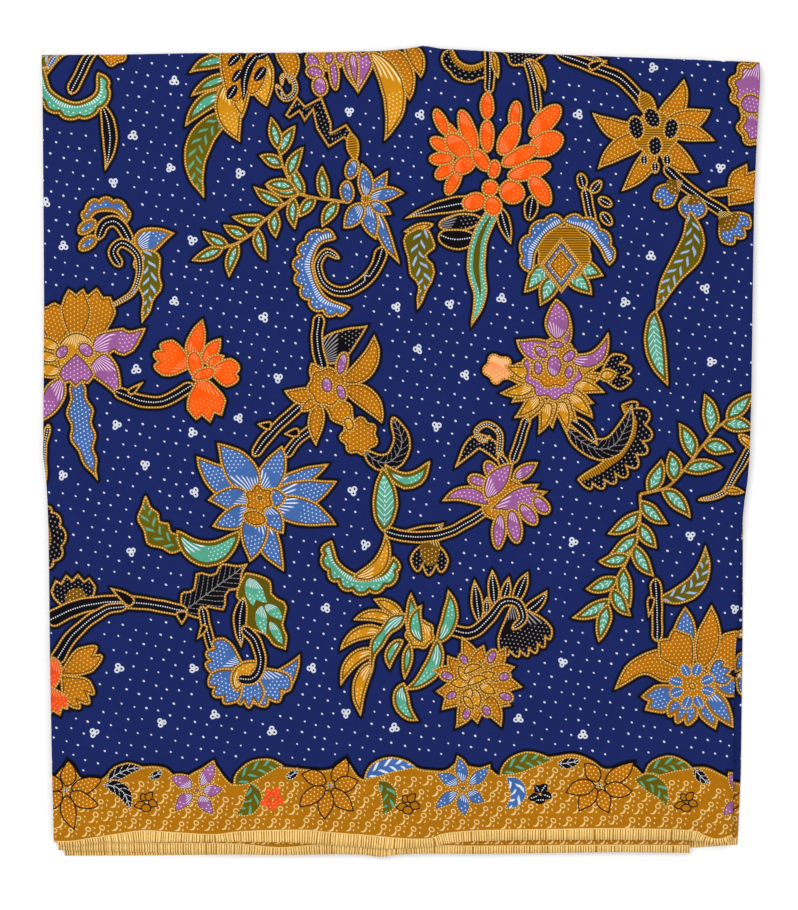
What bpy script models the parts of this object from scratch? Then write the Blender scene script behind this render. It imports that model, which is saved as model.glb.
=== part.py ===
"""A batik sarong, folded into a flat stack that lies face up.

One length of cotton is quartered along its length and doubled across its width. The front
stretch turns over at the long fold and goes on as the back stretch, the cloth's cut end lies
under the front, and the layers that never show are one soft stack between them.

Metres, +Z up. The stack rests on its underside, its hems point to -Y and its long fold to +Y.
"""

import math

import bpy
import numpy as np

MM = 0.001

# The cloth and the stack, in millimetres.
WALL = 1.0  # one thickness of the cotton, with the air that it holds
LAYER_GAP = 0.3  # between layers that lie on each other
FRONT_EASE = 0.45  # how loosely the front lies on what is under it
HIDDEN_COUNT = 4  # layers that never show
HIDDEN_PITCH = 0.95  # from one hidden layer to the next
HIDDEN_BOTTOM = WALL + LAYER_GAP
HIDDEN_TOP = HIDDEN_BOTTOM + HIDDEN_COUNT * HIDDEN_PITCH

# The left fold of the front, and how far the free edges sink.
LIP_RADIUS = 2.2
LIP_FADE = 16.0  # the lip flattens over this length before the long fold
LIP_ANGLES = (90, 66, 44, 22, 0)  # degrees round the lip, from its lower edge to the face
HEM_DROOP = 2.5  # of the end panel, past the hidden layers
HEM_DROOP_START = -250.5
SIDE_DROOP = 1.4  # of the front's free right edge
SIDE_DROOP_WIDTH = 7.0
END_STEP_WIDTH = 12.0  # over which the front comes down off the cut end

# How finely the walls are divided.
FRONT_COLUMNS, FRONT_ROWS, HEM_ROWS = 25, 26, 3
HEM_BAND = 16.0  # the depth of front that the hem rows share
NOSE_STEPS = 8
BACK_ROWS = 5
END_COLUMNS, END_ROWS = 20, 6
PROFILE_ANGLES = (-62, -21, 21, 62)  # degrees round the edge of one hidden layer

# The sides of the stack, one row for each section across it.
SIDES = {
    "y": (270, 247, 214, 170, 104, 40, 0, -17, -30, -50, -97, -137, -214, -270),
    "front_left": (
        -239.5, -239.3, -239.0, -238.6, -238.2, -238.5, -238.9,
        -236.8, -236.0, -235.2, -234.6, -234.2, -232.8, -231.4,
    ),
    "front_right": (
        240.5, 240.8, 238.9, 237.0, 236.0, 235.1, 234.0,
        232.6, 230.6, 228.6, 227.0, 224.1, 222.8, 222.3,
    ),
    "back_left": (
        -239.0, -237.5, -236.0, -234.8, -233.6, -232.4, -231.6,
        -231.2, -231.0, -230.4, -229.2, -228.4, -226.6, -225.0,
    ),
    "back_right": (
        240.0, 239.4, 237.6, 235.6, 233.8, 232.0, 231.0,
        230.6, 230.4, 230.2, 230.1, 229.8, 228.8, 226.2,
    ),
}  # fmt: skip

# The long fold and the three hems that show below each other, from left to right.
LONG_FOLD = {
    "x": (-240, -187, -134, -67, -13, 5, 16, 27, 40, 67, 107, 167, 241),
    "y": (267.9, 268.2, 269.2, 269.5, 270.5, 272.2, 274.2, 272.2, 271.5, 269.9, 268.2, 265.9, 263.2),
}  # fmt: skip
FRONT_HEM = {
    "x": (-231, -227, -214, -207, -200, -174, -107, -73, -53, -37, -13, 0, 20, 33, 47, 67, 134, 194, 204, 210, 216, 223),
    "y": (
        -258.8, -261.4, -262.2, -260.4, -259.0, -258.9, -258.5, -258.9, -260.2, -261.2, -263.4,
        -263.2, -261.9, -259.5, -258.2, -257.5, -257.0, -257.5, -258.6, -260.7, -260.9, -256.0,
    ),
}  # fmt: skip
END_HEM = {
    "x": (-229, -200, -174, -114, -73, -40, -23, -12.7, -3, 20, 53, 94, 147, 194),
    "y": (-264.6, -265.3, -266.0, -267.6, -267.9, -267.3, -267.7, -269.6, -267.6, -266.9, -267.2, -266.6, -266.0, -266.5),
}  # fmt: skip
BACK_HEM = {
    "x": (-225, -174, -114, -40, 94, 194, 227),
    "y": (-268.9, -268.8, -268.2, -266.4, -264.6, -263.6, -261.4),
}  # fmt: skip

# The cut end of the cloth, under the front.
END_PANEL_INSET = 2.4  # from the front's left fold
END_PANEL_CUT = {"y": (-270, 270), "x": (194.0, 197.0)}
END_PANEL_FOLD_INSET = 5.4  # from the long fold

# How far each hidden layer stays inside the stack's own edges, from the lowest layer up.
HIDDEN_INSETS = {
    "left": (4.3, 3.1, 3.9, 2.9),
    "right": (4.6, 6.2, 5.4, 8.6),
    "hem": (0.4, 2.6, 1.2, 4.2),
    "fold": (4.4, 2.6, 2.2, 3.2),
}
HIDDEN_HEM = -252.5
HIDDEN_SIDE_POINTS, HIDDEN_END_POINTS = 12, 14
HIDDEN_CORNER = 3.0

# Soft creases of the front: where each runs, how wide it is and how far it lifts the cloth.
CREASES = {
    "name": (
        "old centre fold, upper", "valley left of it", "valley right of it",
        "old centre fold, lower", "old cross fold", "valley below it",
        "cross fold, left", "long pull from the fold", "long pull, lower",
        "short pull", "ridge above the border", "pucker at the fold",
    ),
    "start": (
        (8, 245), (-2, 150), (16, 150), (8, -90), (-120, 13), (-14, -1),
        (-228, -7), (107, 258), (136, 168), (97, -43), (140, -206), (14, 268),
    ),
    "end": (
        (8, 36), (-1, 36), (17, 36), (9, -205), (45, 14), (68, -2),
        (-132, -8), (140, 210), (171, 57), (138, -32), (196, -190), (10, 246),
    ),
    "width": (5.0, 4.0, 4.0, 6.0, 9.0, 5.0, 6.0, 7.0, 9.0, 3.5, 9.0, 5.0),
    "lift": (0.7, -0.3, -0.3, 0.7, 0.6, -0.35, 0.5, 1.3, 1.4, 0.5, 0.9, 1.0),
}  # fmt: skip


def along(edge, at, across="x", value="y"):
    """The edge's value at each place, read straight between its points."""
    places, values = np.array(edge[across], float), np.array(edge[value], float)
    order = np.argsort(places)
    return np.interp(at, places[order], values[order])


def side(name, y):
    """One of the stack's side edges at each y."""
    return along(SIDES, y, "y", name)


def smooth_step(t):
    """0 below 0, 1 above 1, and a smooth rise between."""
    t = np.clip(t, 0, 1)
    return t * t * (3 - 2 * t)


def crease_lift(x, y):
    """The sum of the creases, each a rounded ridge or valley that dies away at its ends."""
    lift = np.zeros(np.shape(x))
    rows = zip(CREASES["start"], CREASES["end"], CREASES["width"], CREASES["lift"])
    for (x0, y0), (x1, y1), width, height in rows:
        run = np.array((x1 - x0, y1 - y0), float)
        t = ((x - x0) * run[0] + (y - y0) * run[1]) / (run @ run)
        off = np.hypot(x - x0 - t * run[0], y - y0 - t * run[1])
        fade = smooth_step((t + 0.12) / 0.3) * smooth_step((1.12 - t) / 0.3)
        lift += height * fade * np.exp(-((off / width) ** 2))
    return lift


def end_panel_height(x, y):
    """Middle of the end panel's wall: flat on the hidden layers, sinking past their hem."""
    hem = along(END_HEM, x)
    droop = smooth_step((HEM_DROOP_START - y) / (HEM_DROOP_START - hem))
    return HIDDEN_TOP + LAYER_GAP + WALL / 2 + 0 * x - HEM_DROOP * droop


def front_height(x, y):
    """Middle of the front's wall, which follows the end panel and then the hidden layers."""
    past_end = smooth_step((x - along(END_PANEL_CUT, y, "y", "x") - 2.5) / END_STEP_WIDTH)
    over_end = end_panel_height(x, y) + WALL + FRONT_EASE
    flat = HIDDEN_TOP + WALL / 2 + FRONT_EASE
    hem_sink = HEM_DROOP * 0.55 * smooth_step((HEM_DROOP_START - y) / 14.0)
    over_hidden = flat - hem_sink
    droop = SIDE_DROOP * smooth_step(1 - (side("front_right", y) - x) / SIDE_DROOP_WIDTH)
    near_fold = smooth_step((along(LONG_FOLD, x) - 6 - y) / 22.0)
    near_edge = smooth_step((x - side("front_left", y) - 3) / 14.0)
    relief = np.maximum(crease_lift(x, y), -0.1) * near_fold * near_edge
    return over_end * (1 - past_end) + (over_hidden - droop * near_fold) * past_end + relief


def mesh_object(name, points, faces, colour, roughness):
    """A named object from a grid's points, in millimetres, with its own cloth material."""
    mesh = bpy.data.meshes.new(name)
    mesh.from_pydata((np.asarray(points) * MM).tolist(), [], faces)
    mesh.validate()
    material = bpy.data.materials.new(name + "_cotton")
    material.use_nodes = True
    shader = material.node_tree.nodes["Principled BSDF"]
    shader.inputs["Base Color"].default_value = (*colour, 1)
    shader.inputs["Roughness"].default_value = roughness
    shader.inputs["Metallic"].default_value = 0.0
    mesh.materials.append(material)
    thing = bpy.data.objects.new(name, mesh)
    sarong.objects.link(thing)
    return thing


def grid_faces(rows, columns, around=False):
    """Quads of a grid whose points are listed row by row; around closes each row."""
    width = columns if around else columns - 1
    return [
        (r * columns + c, r * columns + (c + 1) % columns,
         (r + 1) * columns + (c + 1) % columns, (r + 1) * columns + c)
        for r in range(rows - 1)
        for c in range(width)
    ]  # fmt: skip


def give_wall(thing):
    """Turns an open sheet into a wall, half its thickness to each side."""
    wall = thing.modifiers.new("wall", "SOLIDIFY")
    wall.thickness = WALL * MM
    wall.offset = 0
    wall.use_even_offset = True
    return thing


def wrapped_columns():
    """Each column as (distance from the left edge, share of the rest, lip angle)."""
    lip = [(LIP_RADIUS * (1 - math.sin(math.radians(a))), 0.0, a) for a in LIP_ANGLES]
    creases = [(x + 237) / 474 for x in (-2, 3, 8, 13, 17, 197, 204, 211, 231)]
    shares = np.linspace(0, 1, FRONT_COLUMNS)[1:].tolist()
    spaced = [s for s in shares if min(abs(s - c) for c in creases) > 0.012]
    shares = sorted(spaced + creases)
    return lip + [(LIP_RADIUS, s, 0) for s in shares]


def across_columns(columns, left, right):
    """The x of each column of the front between its two edges."""
    distance, share, _ = (np.array(c, float) for c in zip(*columns))
    left, right = left + WALL / 2, right - WALL / 2
    return left + distance + share * (right - left - LIP_RADIUS)


def long_fold_of(columns):
    """Where the front turns over, for each column: its x, its height, the turn's middle and radius."""
    x = across_columns(columns, side("front_left", 268.0), side("front_right", 264.0))
    fold = along(LONG_FOLD, x)
    height = front_height(x, fold - 4) + WALL / 2
    return x, height, fold - height / 2, height / 2


def front_panel():
    """The front, from its hem up the face and round the long fold to the underside."""
    columns = wrapped_columns()
    lip_drop = LIP_RADIUS * (1 - np.cos(np.radians([angle for _, _, angle in columns])))

    hem_x = across_columns(columns, side("front_left", -260.0), side("front_right", -258.0))
    front_hem = along(FRONT_HEM, hem_x) + WALL / 2
    fold_x, fold_height, middle, radius = long_fold_of(columns)

    rows = [front_hem + rise for rise in np.linspace(0, HEM_BAND, HEM_ROWS + 1)[:-1]]
    for t in np.linspace(0, 1, FRONT_ROWS + 1):
        rows.append(front_hem + HEM_BAND + t * (middle - front_hem - HEM_BAND))

    points = []
    for y in rows:
        x = across_columns(columns, side("front_left", y), side("front_right", y))
        lip_fade = smooth_step((middle - y) / LIP_FADE)
        to_nose = smooth_step(1 - (middle - y) / 8.0)
        height = front_height(x, y) * (1 - to_nose) + (fold_height - WALL / 2) * to_nose
        points.append(np.stack([x, y, height - lip_drop * lip_fade], axis=1))
    bend = radius - WALL / 2
    for step in range(1, NOSE_STEPS + 1):
        turn = math.pi * step / NOSE_STEPS
        round_y = middle + bend * math.sin(turn)
        points.append(np.stack([fold_x, round_y, radius + bend * math.cos(turn)], axis=1))

    faces = grid_faces(len(points), len(columns))
    thing = mesh_object("front_panel", np.concatenate(points), faces, (0.010, 0.020, 0.102), 0.85)
    return give_wall(thing)


def back_panel():
    """The back, flat on its underside, from the seam line below the long fold to its hem."""
    columns = wrapped_columns()
    hem_x = across_columns(columns, side("back_left", -268.0), side("back_right", -262.0))
    hem = along(BACK_HEM, hem_x) + WALL / 2
    fold_x, _, middle, _ = long_fold_of(columns)
    points = []
    for t in np.linspace(0, 1, BACK_ROWS + 1):
        y = hem + t * (middle - LAYER_GAP - hem)
        x = across_columns(columns, side("back_left", y), side("back_right", y))
        to_seam = smooth_step((t - 0.9) / 0.1)
        x = x * (1 - to_seam) + fold_x * to_seam
        points.append(np.stack([x, y, np.full(len(x), WALL / 2)], axis=1))
    faces = grid_faces(len(points), len(columns))
    thing = mesh_object("back_panel", np.concatenate(points), faces, (0.012, 0.024, 0.110), 0.85)
    return give_wall(thing)


def end_panel():
    """The last stretch of the cloth, under the front, with its cut end short of the right edge."""
    shares = np.linspace(0, 1, END_COLUMNS)
    rises = (0.0, 5.0, 10.0, 16.0, 22.0)
    points = []

    def across(y):
        left = side("front_left", y) + END_PANEL_INSET + WALL / 2
        return left + shares * (along(END_PANEL_CUT, y, "y", "x") - WALL / 2 - left)

    hem = along(END_HEM, across(np.full(END_COLUMNS, -266.0))) + WALL / 2
    top = along(LONG_FOLD, across(np.full(END_COLUMNS, 262.0))) - END_PANEL_FOLD_INSET
    for rise in rises:
        y = hem + rise
        points.append(np.stack([across(y), y, end_panel_height(across(y), y)], axis=1))
    for t in np.linspace(0, 1, END_ROWS)[1:]:
        y = hem + rises[-1] + t * (top - hem - rises[-1])
        points.append(np.stack([across(y), y, end_panel_height(across(y), y)], axis=1))
    faces = grid_faces(len(points), END_COLUMNS)
    thing = mesh_object("end_panel", np.concatenate(points), faces, (0.479, 0.191, 0.007), 0.85)
    return give_wall(thing)


def hidden_ring(layer, angle):
    """One ring round the hidden stack, where one layer's rounded edge stands at this angle."""
    inset = {name: values[layer] for name, values in HIDDEN_INSETS.items()}
    edge_radius = HIDDEN_PITCH / 2
    pull = edge_radius * (1 - math.cos(math.radians(angle)))
    height = HIDDEN_BOTTOM + HIDDEN_PITCH * (layer + 0.5) + edge_radius * math.sin(math.radians(angle))

    def left(y):
        return np.maximum(side("front_left", y), side("back_left", y)) + inset["left"] + pull

    def right(y):
        return np.minimum(side("front_right", y), side("back_right", y)) - inset["right"] - pull

    def top(x):
        return along(LONG_FOLD, x) - inset["fold"] - pull

    bottom = HIDDEN_HEM + inset["hem"] + pull
    reach = HIDDEN_CORNER
    side_y = np.linspace(bottom + reach, 262.0 - reach - inset["fold"], HIDDEN_SIDE_POINTS)
    top_x = np.linspace(left(260.0) + reach, right(260.0) - reach, HIDDEN_END_POINTS)
    hem_x = np.linspace(left(-250.0) + reach, right(-250.0) - reach, HIDDEN_END_POINTS)
    ring = [(x, bottom) for x in hem_x]
    ring += [(float(right(y)), y) for y in side_y]
    ring += [(x, float(top(x))) for x in top_x[::-1]]
    ring += [(float(left(y)), y) for y in side_y[::-1]]
    return [(x, y, height) for x, y in ring]


def hidden_layers():
    """The layers that never show, as one solid whose edge is a rounded step for each layer."""
    rings = [hidden_ring(k, a) for k in range(HIDDEN_COUNT) for a in PROFILE_ANGLES]
    count = len(rings[0])
    lowest = [(x, y, HIDDEN_BOTTOM) for x, y, _ in hidden_ring(0, 88)]
    highest = [(x, y, HIDDEN_TOP) for x, y, _ in hidden_ring(HIDDEN_COUNT - 1, 88)]
    rings = [lowest, *rings, highest]
    points = [p for ring in rings for p in ring]
    points += [(0.0, 0.0, HIDDEN_BOTTOM), (0.0, 0.0, HIDDEN_TOP)]
    faces = grid_faces(len(rings), count, around=True)
    under, over = len(points) - 2, len(points) - 1
    last = (len(rings) - 1) * count
    for i in range(count):
        following = (i + 1) % count
        faces.append((under, following, i))
        faces.append((over, last + i, last + following))
    return mesh_object("hidden_layers", points, faces, (0.014, 0.026, 0.120), 0.9)


def centre_on_origin(things):
    """Moves the sheets so that the origin is the middle of the stack's underside."""
    bpy.context.view_layer.update()
    graph = bpy.context.evaluated_depsgraph_get()
    corners = []
    for thing in things:
        shown = thing.evaluated_get(graph).to_mesh()
        place = np.empty(len(shown.vertices) * 3, np.float32)
        shown.vertices.foreach_get("co", place)
        corners.append(place.reshape(-1, 3))
    low, high = np.concatenate(corners).min(0), np.concatenate(corners).max(0)
    shift = np.array((-(low[0] + high[0]) / 2, -(low[1] + high[1]) / 2, -low[2]), float)
    for thing in things:
        place = np.empty(len(thing.data.vertices) * 3, np.float32)
        thing.data.vertices.foreach_get("co", place)
        moved = place.reshape(-1, 3) + shift
        thing.data.vertices.foreach_set("co", moved.astype(np.float32).ravel())
        thing.data.update()


for old in list(bpy.data.objects):
    bpy.data.objects.remove(old)
sarong = bpy.data.collections.new("folded_sarong")
bpy.context.scene.collection.children.link(sarong)
centre_on_origin([front_panel(), end_panel(), hidden_layers(), back_panel()])
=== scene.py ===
"""Looks of a batik sarong that lies folded, face up, on a pale floor.

The cloth's print is laid out flat, as closed patches of dye that lie over each other, cut into
one fine triangulation and then carried onto the folded cloth. Lengths are in millimetres until
a mesh is made. The print's own places are in print units, from its top left corner, down.
"""

from __future__ import annotations

import logging
import math
from dataclasses import dataclass, field
from enum import Enum, IntEnum
from typing import Callable, ClassVar, Iterable, Sequence

import bpy
import numpy as np
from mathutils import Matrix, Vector
from mathutils.geometry import delaunay_2d_cdt

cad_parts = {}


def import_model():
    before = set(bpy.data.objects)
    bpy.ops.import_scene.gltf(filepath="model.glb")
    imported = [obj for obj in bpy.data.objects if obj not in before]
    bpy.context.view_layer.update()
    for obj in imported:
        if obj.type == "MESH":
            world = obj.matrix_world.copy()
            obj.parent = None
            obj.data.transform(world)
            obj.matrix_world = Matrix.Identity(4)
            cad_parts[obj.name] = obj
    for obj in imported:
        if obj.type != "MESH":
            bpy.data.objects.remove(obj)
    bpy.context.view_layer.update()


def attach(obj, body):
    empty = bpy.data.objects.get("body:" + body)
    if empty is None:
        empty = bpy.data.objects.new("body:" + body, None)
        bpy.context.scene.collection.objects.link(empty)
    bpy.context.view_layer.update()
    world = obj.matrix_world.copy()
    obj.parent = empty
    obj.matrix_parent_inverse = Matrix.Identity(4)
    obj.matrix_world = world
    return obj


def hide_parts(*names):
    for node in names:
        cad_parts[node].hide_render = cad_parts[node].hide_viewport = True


LOG = logging.getLogger("sarong")

MM = 0.001
UNIT = 0.668  # millimetres in one print unit
UNIT_ORIGIN = (400.0, 455.0)  # the print unit that lies at x = y = 0 before centring
CENTRING = (-0.4389, -2.7910)  # brings the stack's middle to the origin

Array = np.ndarray
Thing = bpy.types.Object
Spot = tuple[float, float]
Line = tuple[Spot, ...]
Place = tuple[float, float, float]
Table = dict[str, tuple[float, ...]]
Surface = Callable[[Array, Array], Array]


def smooth_step(t: Array) -> Array:
    """Eases from 0 to 1."""
    t = np.clip(t, 0, 1)
    return t * t * (3 - 2 * t)


def to_plane(spots: Array) -> Array:
    """Turns print units into millimetres of the flat cloth, with y up."""
    spots = np.asarray(spots, float)
    return (spots - UNIT_ORIGIN) * (UNIT, -UNIT)


# The folded stack


@dataclass(frozen=True)
class Crease:
    """One soft ridge or valley of the front.

    Attributes:
        start: Where it begins, in millimetres.
        end: Where it dies away.
        width: How far to each side it reaches.
        lift: Its height, negative for a valley.
    """

    start: Spot
    end: Spot
    width: float
    lift: float


@dataclass(frozen=True)
class FoldedStack:
    """The form of the folded cloth, in millimetres, before it is centred on the origin."""

    wall: float = 1.0
    thickness: float = 0.75
    layer_gap: float = 0.3
    front_ease: float = 0.45
    hidden_count: int = 4
    hidden_pitch: float = 0.95
    hidden_bottom: float = 1.3
    hidden_top: float = 5.1
    lip_radius: float = 2.7
    lip_fade: float = 16.0
    hem_droop: float = 2.5
    hem_droop_start: float = -250.5
    side_droop: float = 1.4
    side_droop_width: float = 7.0
    end_step_start: float = 2.5
    end_step_width: float = 12.0
    fold_fade: float = 22.0
    hem_fade: float = 14.0
    round_turn: float = 0.985
    end_inset: float = 2.4
    end_fold_inset: float = 5.4

    SIDES: ClassVar[Table] = {
        "y": (270, 247, 214, 170, 104, 40, 0, -17, -30, -50, -97, -137, -214, -270),
        "front_left": (
            -239.5, -239.3, -239.0, -238.6, -238.2, -238.5, -238.9,
            -236.8, -236.0, -235.2, -234.6, -234.2, -232.8, -231.4,
        ),
        "front_right": (
            240.5, 240.8, 238.9, 237.0, 236.0, 235.1, 234.0,
            232.6, 230.6, 228.6, 227.0, 224.1, 222.8, 222.3,
        ),
        "back_left": (
            -239.0, -237.5, -236.0, -234.8, -233.6, -232.4, -231.6,
            -231.2, -231.0, -230.4, -229.2, -228.4, -226.6, -225.0,
        ),
        "back_right": (
            240.0, 239.4, 237.6, 235.6, 233.8, 232.0, 231.0,
            230.6, 230.4, 230.2, 230.1, 229.8, 228.8, 226.2,
        ),
    }
    LONG_FOLD: ClassVar[Table] = {
        "x": (-240, -187, -134, -67, -13, 5, 16, 27, 40, 67, 107, 167, 241),
        "y": (267.9, 268.2, 269.2, 269.5, 270.5, 272.2, 274.2, 272.2, 271.5, 269.9, 268.2, 265.9, 263.2),
    }
    FRONT_HEM: ClassVar[Table] = {
        "x": (-231, -227, -214, -207, -200, -174, -107, -73, -53, -37, -13,
              0, 20, 33, 47, 67, 134, 194, 204, 210, 216, 223),
        "y": (-258.8, -261.4, -262.2, -260.4, -259.0, -258.9, -258.5, -258.9, -260.2, -261.2, -263.4,
              -263.2, -261.9, -259.5, -258.2, -257.5, -257.0, -257.5, -258.6, -260.7, -260.9, -256.0),
    }
    END_HEM: ClassVar[Table] = {
        "x": (-229, -200, -174, -114, -73, -40, -23, -12.7, -3, 20, 53, 94, 147, 194),
        "y": (-264.6, -265.3, -266.0, -267.6, -267.9, -267.3, -267.7, -269.6,
              -267.6, -266.9, -267.2, -266.6, -266.0, -266.5),
    }
    BACK_HEM: ClassVar[Table] = {
        "x": (-225, -174, -114, -40, 94, 194, 227),
        "y": (-268.9, -268.8, -268.2, -266.4, -264.6, -263.6, -261.4),
    }
    END_CUT: ClassVar[Table] = {"y": (-270, 270), "x": (194.0, 197.0)}
    HIDDEN_INSETS: ClassVar[Table] = {
        "left": (4.3, 3.1, 3.9, 2.9),
        "right": (4.6, 6.2, 5.4, 8.6),
        "hem": (0.4, 2.6, 1.2, 4.2),
        "fold": (4.4, 2.6, 2.2, 3.2),
    }
    hidden_hem: float = -252.5
    TOP_EDGE: ClassVar[slice] = slice(173, 256)  # the long fold's points in the front's outline

    CREASES: ClassVar[tuple[Crease, ...]] = (
        Crease((8, 245), (8, 36), 5.0, 0.7),
        Crease((-2, 150), (-1, 36), 4.0, -0.3),
        Crease((16, 150), (17, 36), 4.0, -0.3),
        Crease((8, -90), (9, -205), 6.0, 0.7),
        Crease((-120, 13), (45, 14), 9.0, 0.6),
        Crease((-14, -1), (68, -2), 5.0, -0.35),
        Crease((-228, -7), (-132, -8), 6.0, 0.5),
        Crease((107, 258), (140, 210), 7.0, 1.3),
        Crease((136, 168), (171, 57), 9.0, 1.4),
        Crease((97, -43), (138, -32), 3.5, 0.5),
        Crease((140, -206), (196, -190), 9.0, 0.9),
        Crease((14, 268), (10, 246), 5.0, 1.0),
    )
    FINE_CREASES: ClassVar[tuple[Crease, ...]] = (
        Crease((-125, 205), (-124, 80), 2.2, 0.22),
        Crease((-60, 180), (-52, 60), 2.6, 0.16),
        Crease((60, 120), (66, -20), 2.4, 0.18),
        Crease((-190, -60), (-120, -90), 3.0, 0.2),
        Crease((-30, -120), (40, -150), 3.0, 0.2),
        Crease((150, -70), (215, -60), 2.6, 0.22),
        Crease((170, 230), (205, 150), 3.2, 0.24),
    )

    @staticmethod
    def along(edge: Table, at: Array, across: str = "x", value: str = "y") -> Array:
        """Reads an edge's table straight between its points.

        Args:
            edge: The table, by column name.
            at: Places to read it at.
            across: The column that the places are in.
            value: The column to read.

        Returns:
            The value at each place.
        """
        places, values = np.array(edge[across], float), np.array(edge[value], float)
        order = np.argsort(places)
        return np.interp(at, places[order], values[order])

    def side(self, name: str, y: Array) -> Array:
        """One of the side edges."""
        return self.along(self.SIDES, y, "y", name)

    @staticmethod
    def relief(x: Array, y: Array, creases: Iterable[Crease]) -> Array:
        """How far creases lift the cloth: a bell over the distance from each, which fades at its ends.

        Args:
            x: Places across.
            y: Places up the cloth.
            creases: The ridges and valleys.

        Returns:
            The lift at each place.
        """
        lift = np.zeros(np.shape(x))
        for crease in creases:
            (x0, y0), (x1, y1) = crease.start, crease.end
            run = np.array((x1 - x0, y1 - y0), float)
            t = ((x - x0) * run[0] + (y - y0) * run[1]) / (run @ run)
            off = np.hypot(x - x0 - t * run[0], y - y0 - t * run[1])
            fade = smooth_step((t + 0.12) / 0.3) * smooth_step((1.12 - t) / 0.3)
            lift += crease.lift * fade * np.exp(-((off / crease.width) ** 2))
        return lift

    def end_height(self, x: Array, y: Array) -> Array:
        """Middle of the end panel's wall."""
        droop = smooth_step((self.hem_droop_start - y) / (self.hem_droop_start - self.along(self.END_HEM, x)))
        return self.hidden_top + self.layer_gap + self.wall / 2 + 0 * x - self.hem_droop * droop

    def front_height(self, x: Array, y: Array) -> Array:
        """Middle of the front's wall.

        It is the height over the end panel, eased past the cut end to that over the hidden layers,
        with the ridges, the fine creases and slow waves added.

        Args:
            x: Places across.
            y: Places up the cloth.

        Returns:
            Its height at each place.
        """
        past = x - self.along(self.END_CUT, y, "y", "x")
        past_end = smooth_step((past - self.end_step_start) / self.end_step_width)
        over_end = self.end_height(x, y) + self.wall + self.front_ease
        hem_sink = self.hem_droop * 0.55 * smooth_step((self.hem_droop_start - y) / self.hem_fade)
        over_hidden = self.hidden_top + self.wall / 2 + self.front_ease - hem_sink
        near_fold = smooth_step((self.along(self.LONG_FOLD, x) - 6 - y) / self.fold_fade)
        near_edge = smooth_step((x - self.side("front_left", y) - 3) / 14.0)
        droop = self.side_droop * smooth_step(1 - (self.side("front_right", y) - x) / self.side_droop_width)
        ridges = np.maximum(self.relief(x, y, self.CREASES), -0.1) * near_fold * near_edge
        fine = self.relief(x, y, self.FINE_CREASES) * near_fold * near_edge
        ease = 0.14 * (1 + np.sin(x / 31.0 + 0.8 * np.sin(y / 47.0)) * np.sin(y / 39.0 + 1.1)) * near_fold
        near_hem = smooth_step((-246 - y) / self.hem_fade)
        hem_wave = 0.3 * (1 + np.sin(x / 9.5 + 2.0 * np.sin(x / 41.0))) * near_hem
        base = over_end * (1 - past_end) + (over_hidden - droop * near_fold) * past_end
        return base + ridges + fine + ease + hem_wave

    def turn(self, x: Array) -> tuple[Array, Array]:
        """Where the front begins to turn over at the long fold.

        Args:
            x: Places across.

        Returns:
            The y where the turn begins, and its outer radius.
        """
        fold = self.along(self.LONG_FOLD, x)
        radius = (self.front_height(x, fold - 4) + self.wall / 2) / 2
        return fold - radius, radius

    def front_face(self, u: Array, v: Array) -> Array:
        """Outer face of the front.

        It is laid at its height, drops along a quarter round at the left lip, and turns along a half
        round over the long fold.

        Args:
            u: Places across the flat cloth.
            v: Places up the flat cloth, which run on round the fold.

        Returns:
            The points, one row each.
        """
        middle, radius = self.turn(u)
        y = np.minimum(v, middle)
        to_nose = smooth_step(1 - (middle - y) / 8.0)
        height = (self.front_height(u, y) + self.wall / 2) * (1 - to_nose) + 2 * radius * to_nose
        lip = np.clip(1 - (u - self.side("front_left", y)) / self.lip_radius, 0, 1)
        drop = self.lip_radius * (1 - np.sqrt(1 - lip**2)) * smooth_step((middle - y) / self.lip_fade)
        angle = np.clip((v - middle) / radius, 0, math.pi)
        rolled = np.stack([u, middle + radius * np.sin(angle), radius + radius * np.cos(angle)], axis=1)
        laid = np.stack([u, y, height - drop], axis=1)
        return np.where((v > middle)[:, None], rolled, laid)

    def end_face(self, u: Array, v: Array) -> Array:
        """Upper face of the end panel."""
        return np.stack([u, v, self.end_height(u, v) + self.wall / 2], axis=1)

    def back_face(self, u: Array, v: Array) -> Array:
        """Upper face of the back panel, which lies flat."""
        return np.stack([u, v, np.full(len(u), self.thickness)], axis=1)

    @staticmethod
    def ring(*edges: tuple[Array, Array]) -> Array:
        """Joins a hem, a right, a top and a left edge, each as its x and y, anticlockwise."""
        hem, right, top, left = (np.stack(edge, axis=1) for edge in edges)
        return np.concatenate([hem, right[1:], top, left[::-1][:-1]])

    def front_outline(self) -> Array:
        """Edge of the front laid flat, with the turn over the long fold unrolled.

        Returns:
            The corners, anticlockwise from the lower left.
        """
        y = np.linspace(-257.5, 262.5, 90)
        hem_x = np.linspace(self.side("front_left", -260.0), self.side("front_right", -257.0), 84)
        top_x = np.linspace(self.side("front_right", 268.0), self.side("front_left", 268.0), 84)
        middle, radius = self.turn(top_x)
        return self.ring(
            (hem_x, self.along(self.FRONT_HEM, hem_x)), (self.side("front_right", y), y),
            (top_x, middle + radius * math.pi * self.round_turn), (self.side("front_left", y), y),
        )

    def end_outline(self) -> Array:
        """Edge of the end panel, with its cut end at the right.

        Returns:
            The corners, anticlockwise from the lower left.
        """
        y = np.linspace(-262, 258, 50)
        hem_x, top_x = np.linspace(-229.0, 194.0, 84), np.linspace(197.0, -236.5, 60)
        return self.ring(
            (hem_x, self.along(self.END_HEM, hem_x)), (self.along(self.END_CUT, y, "y", "x"), y),
            (top_x, self.along(self.LONG_FOLD, top_x) - self.end_fold_inset),
            (self.side("front_left", y) + self.end_inset, y),
        )

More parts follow.
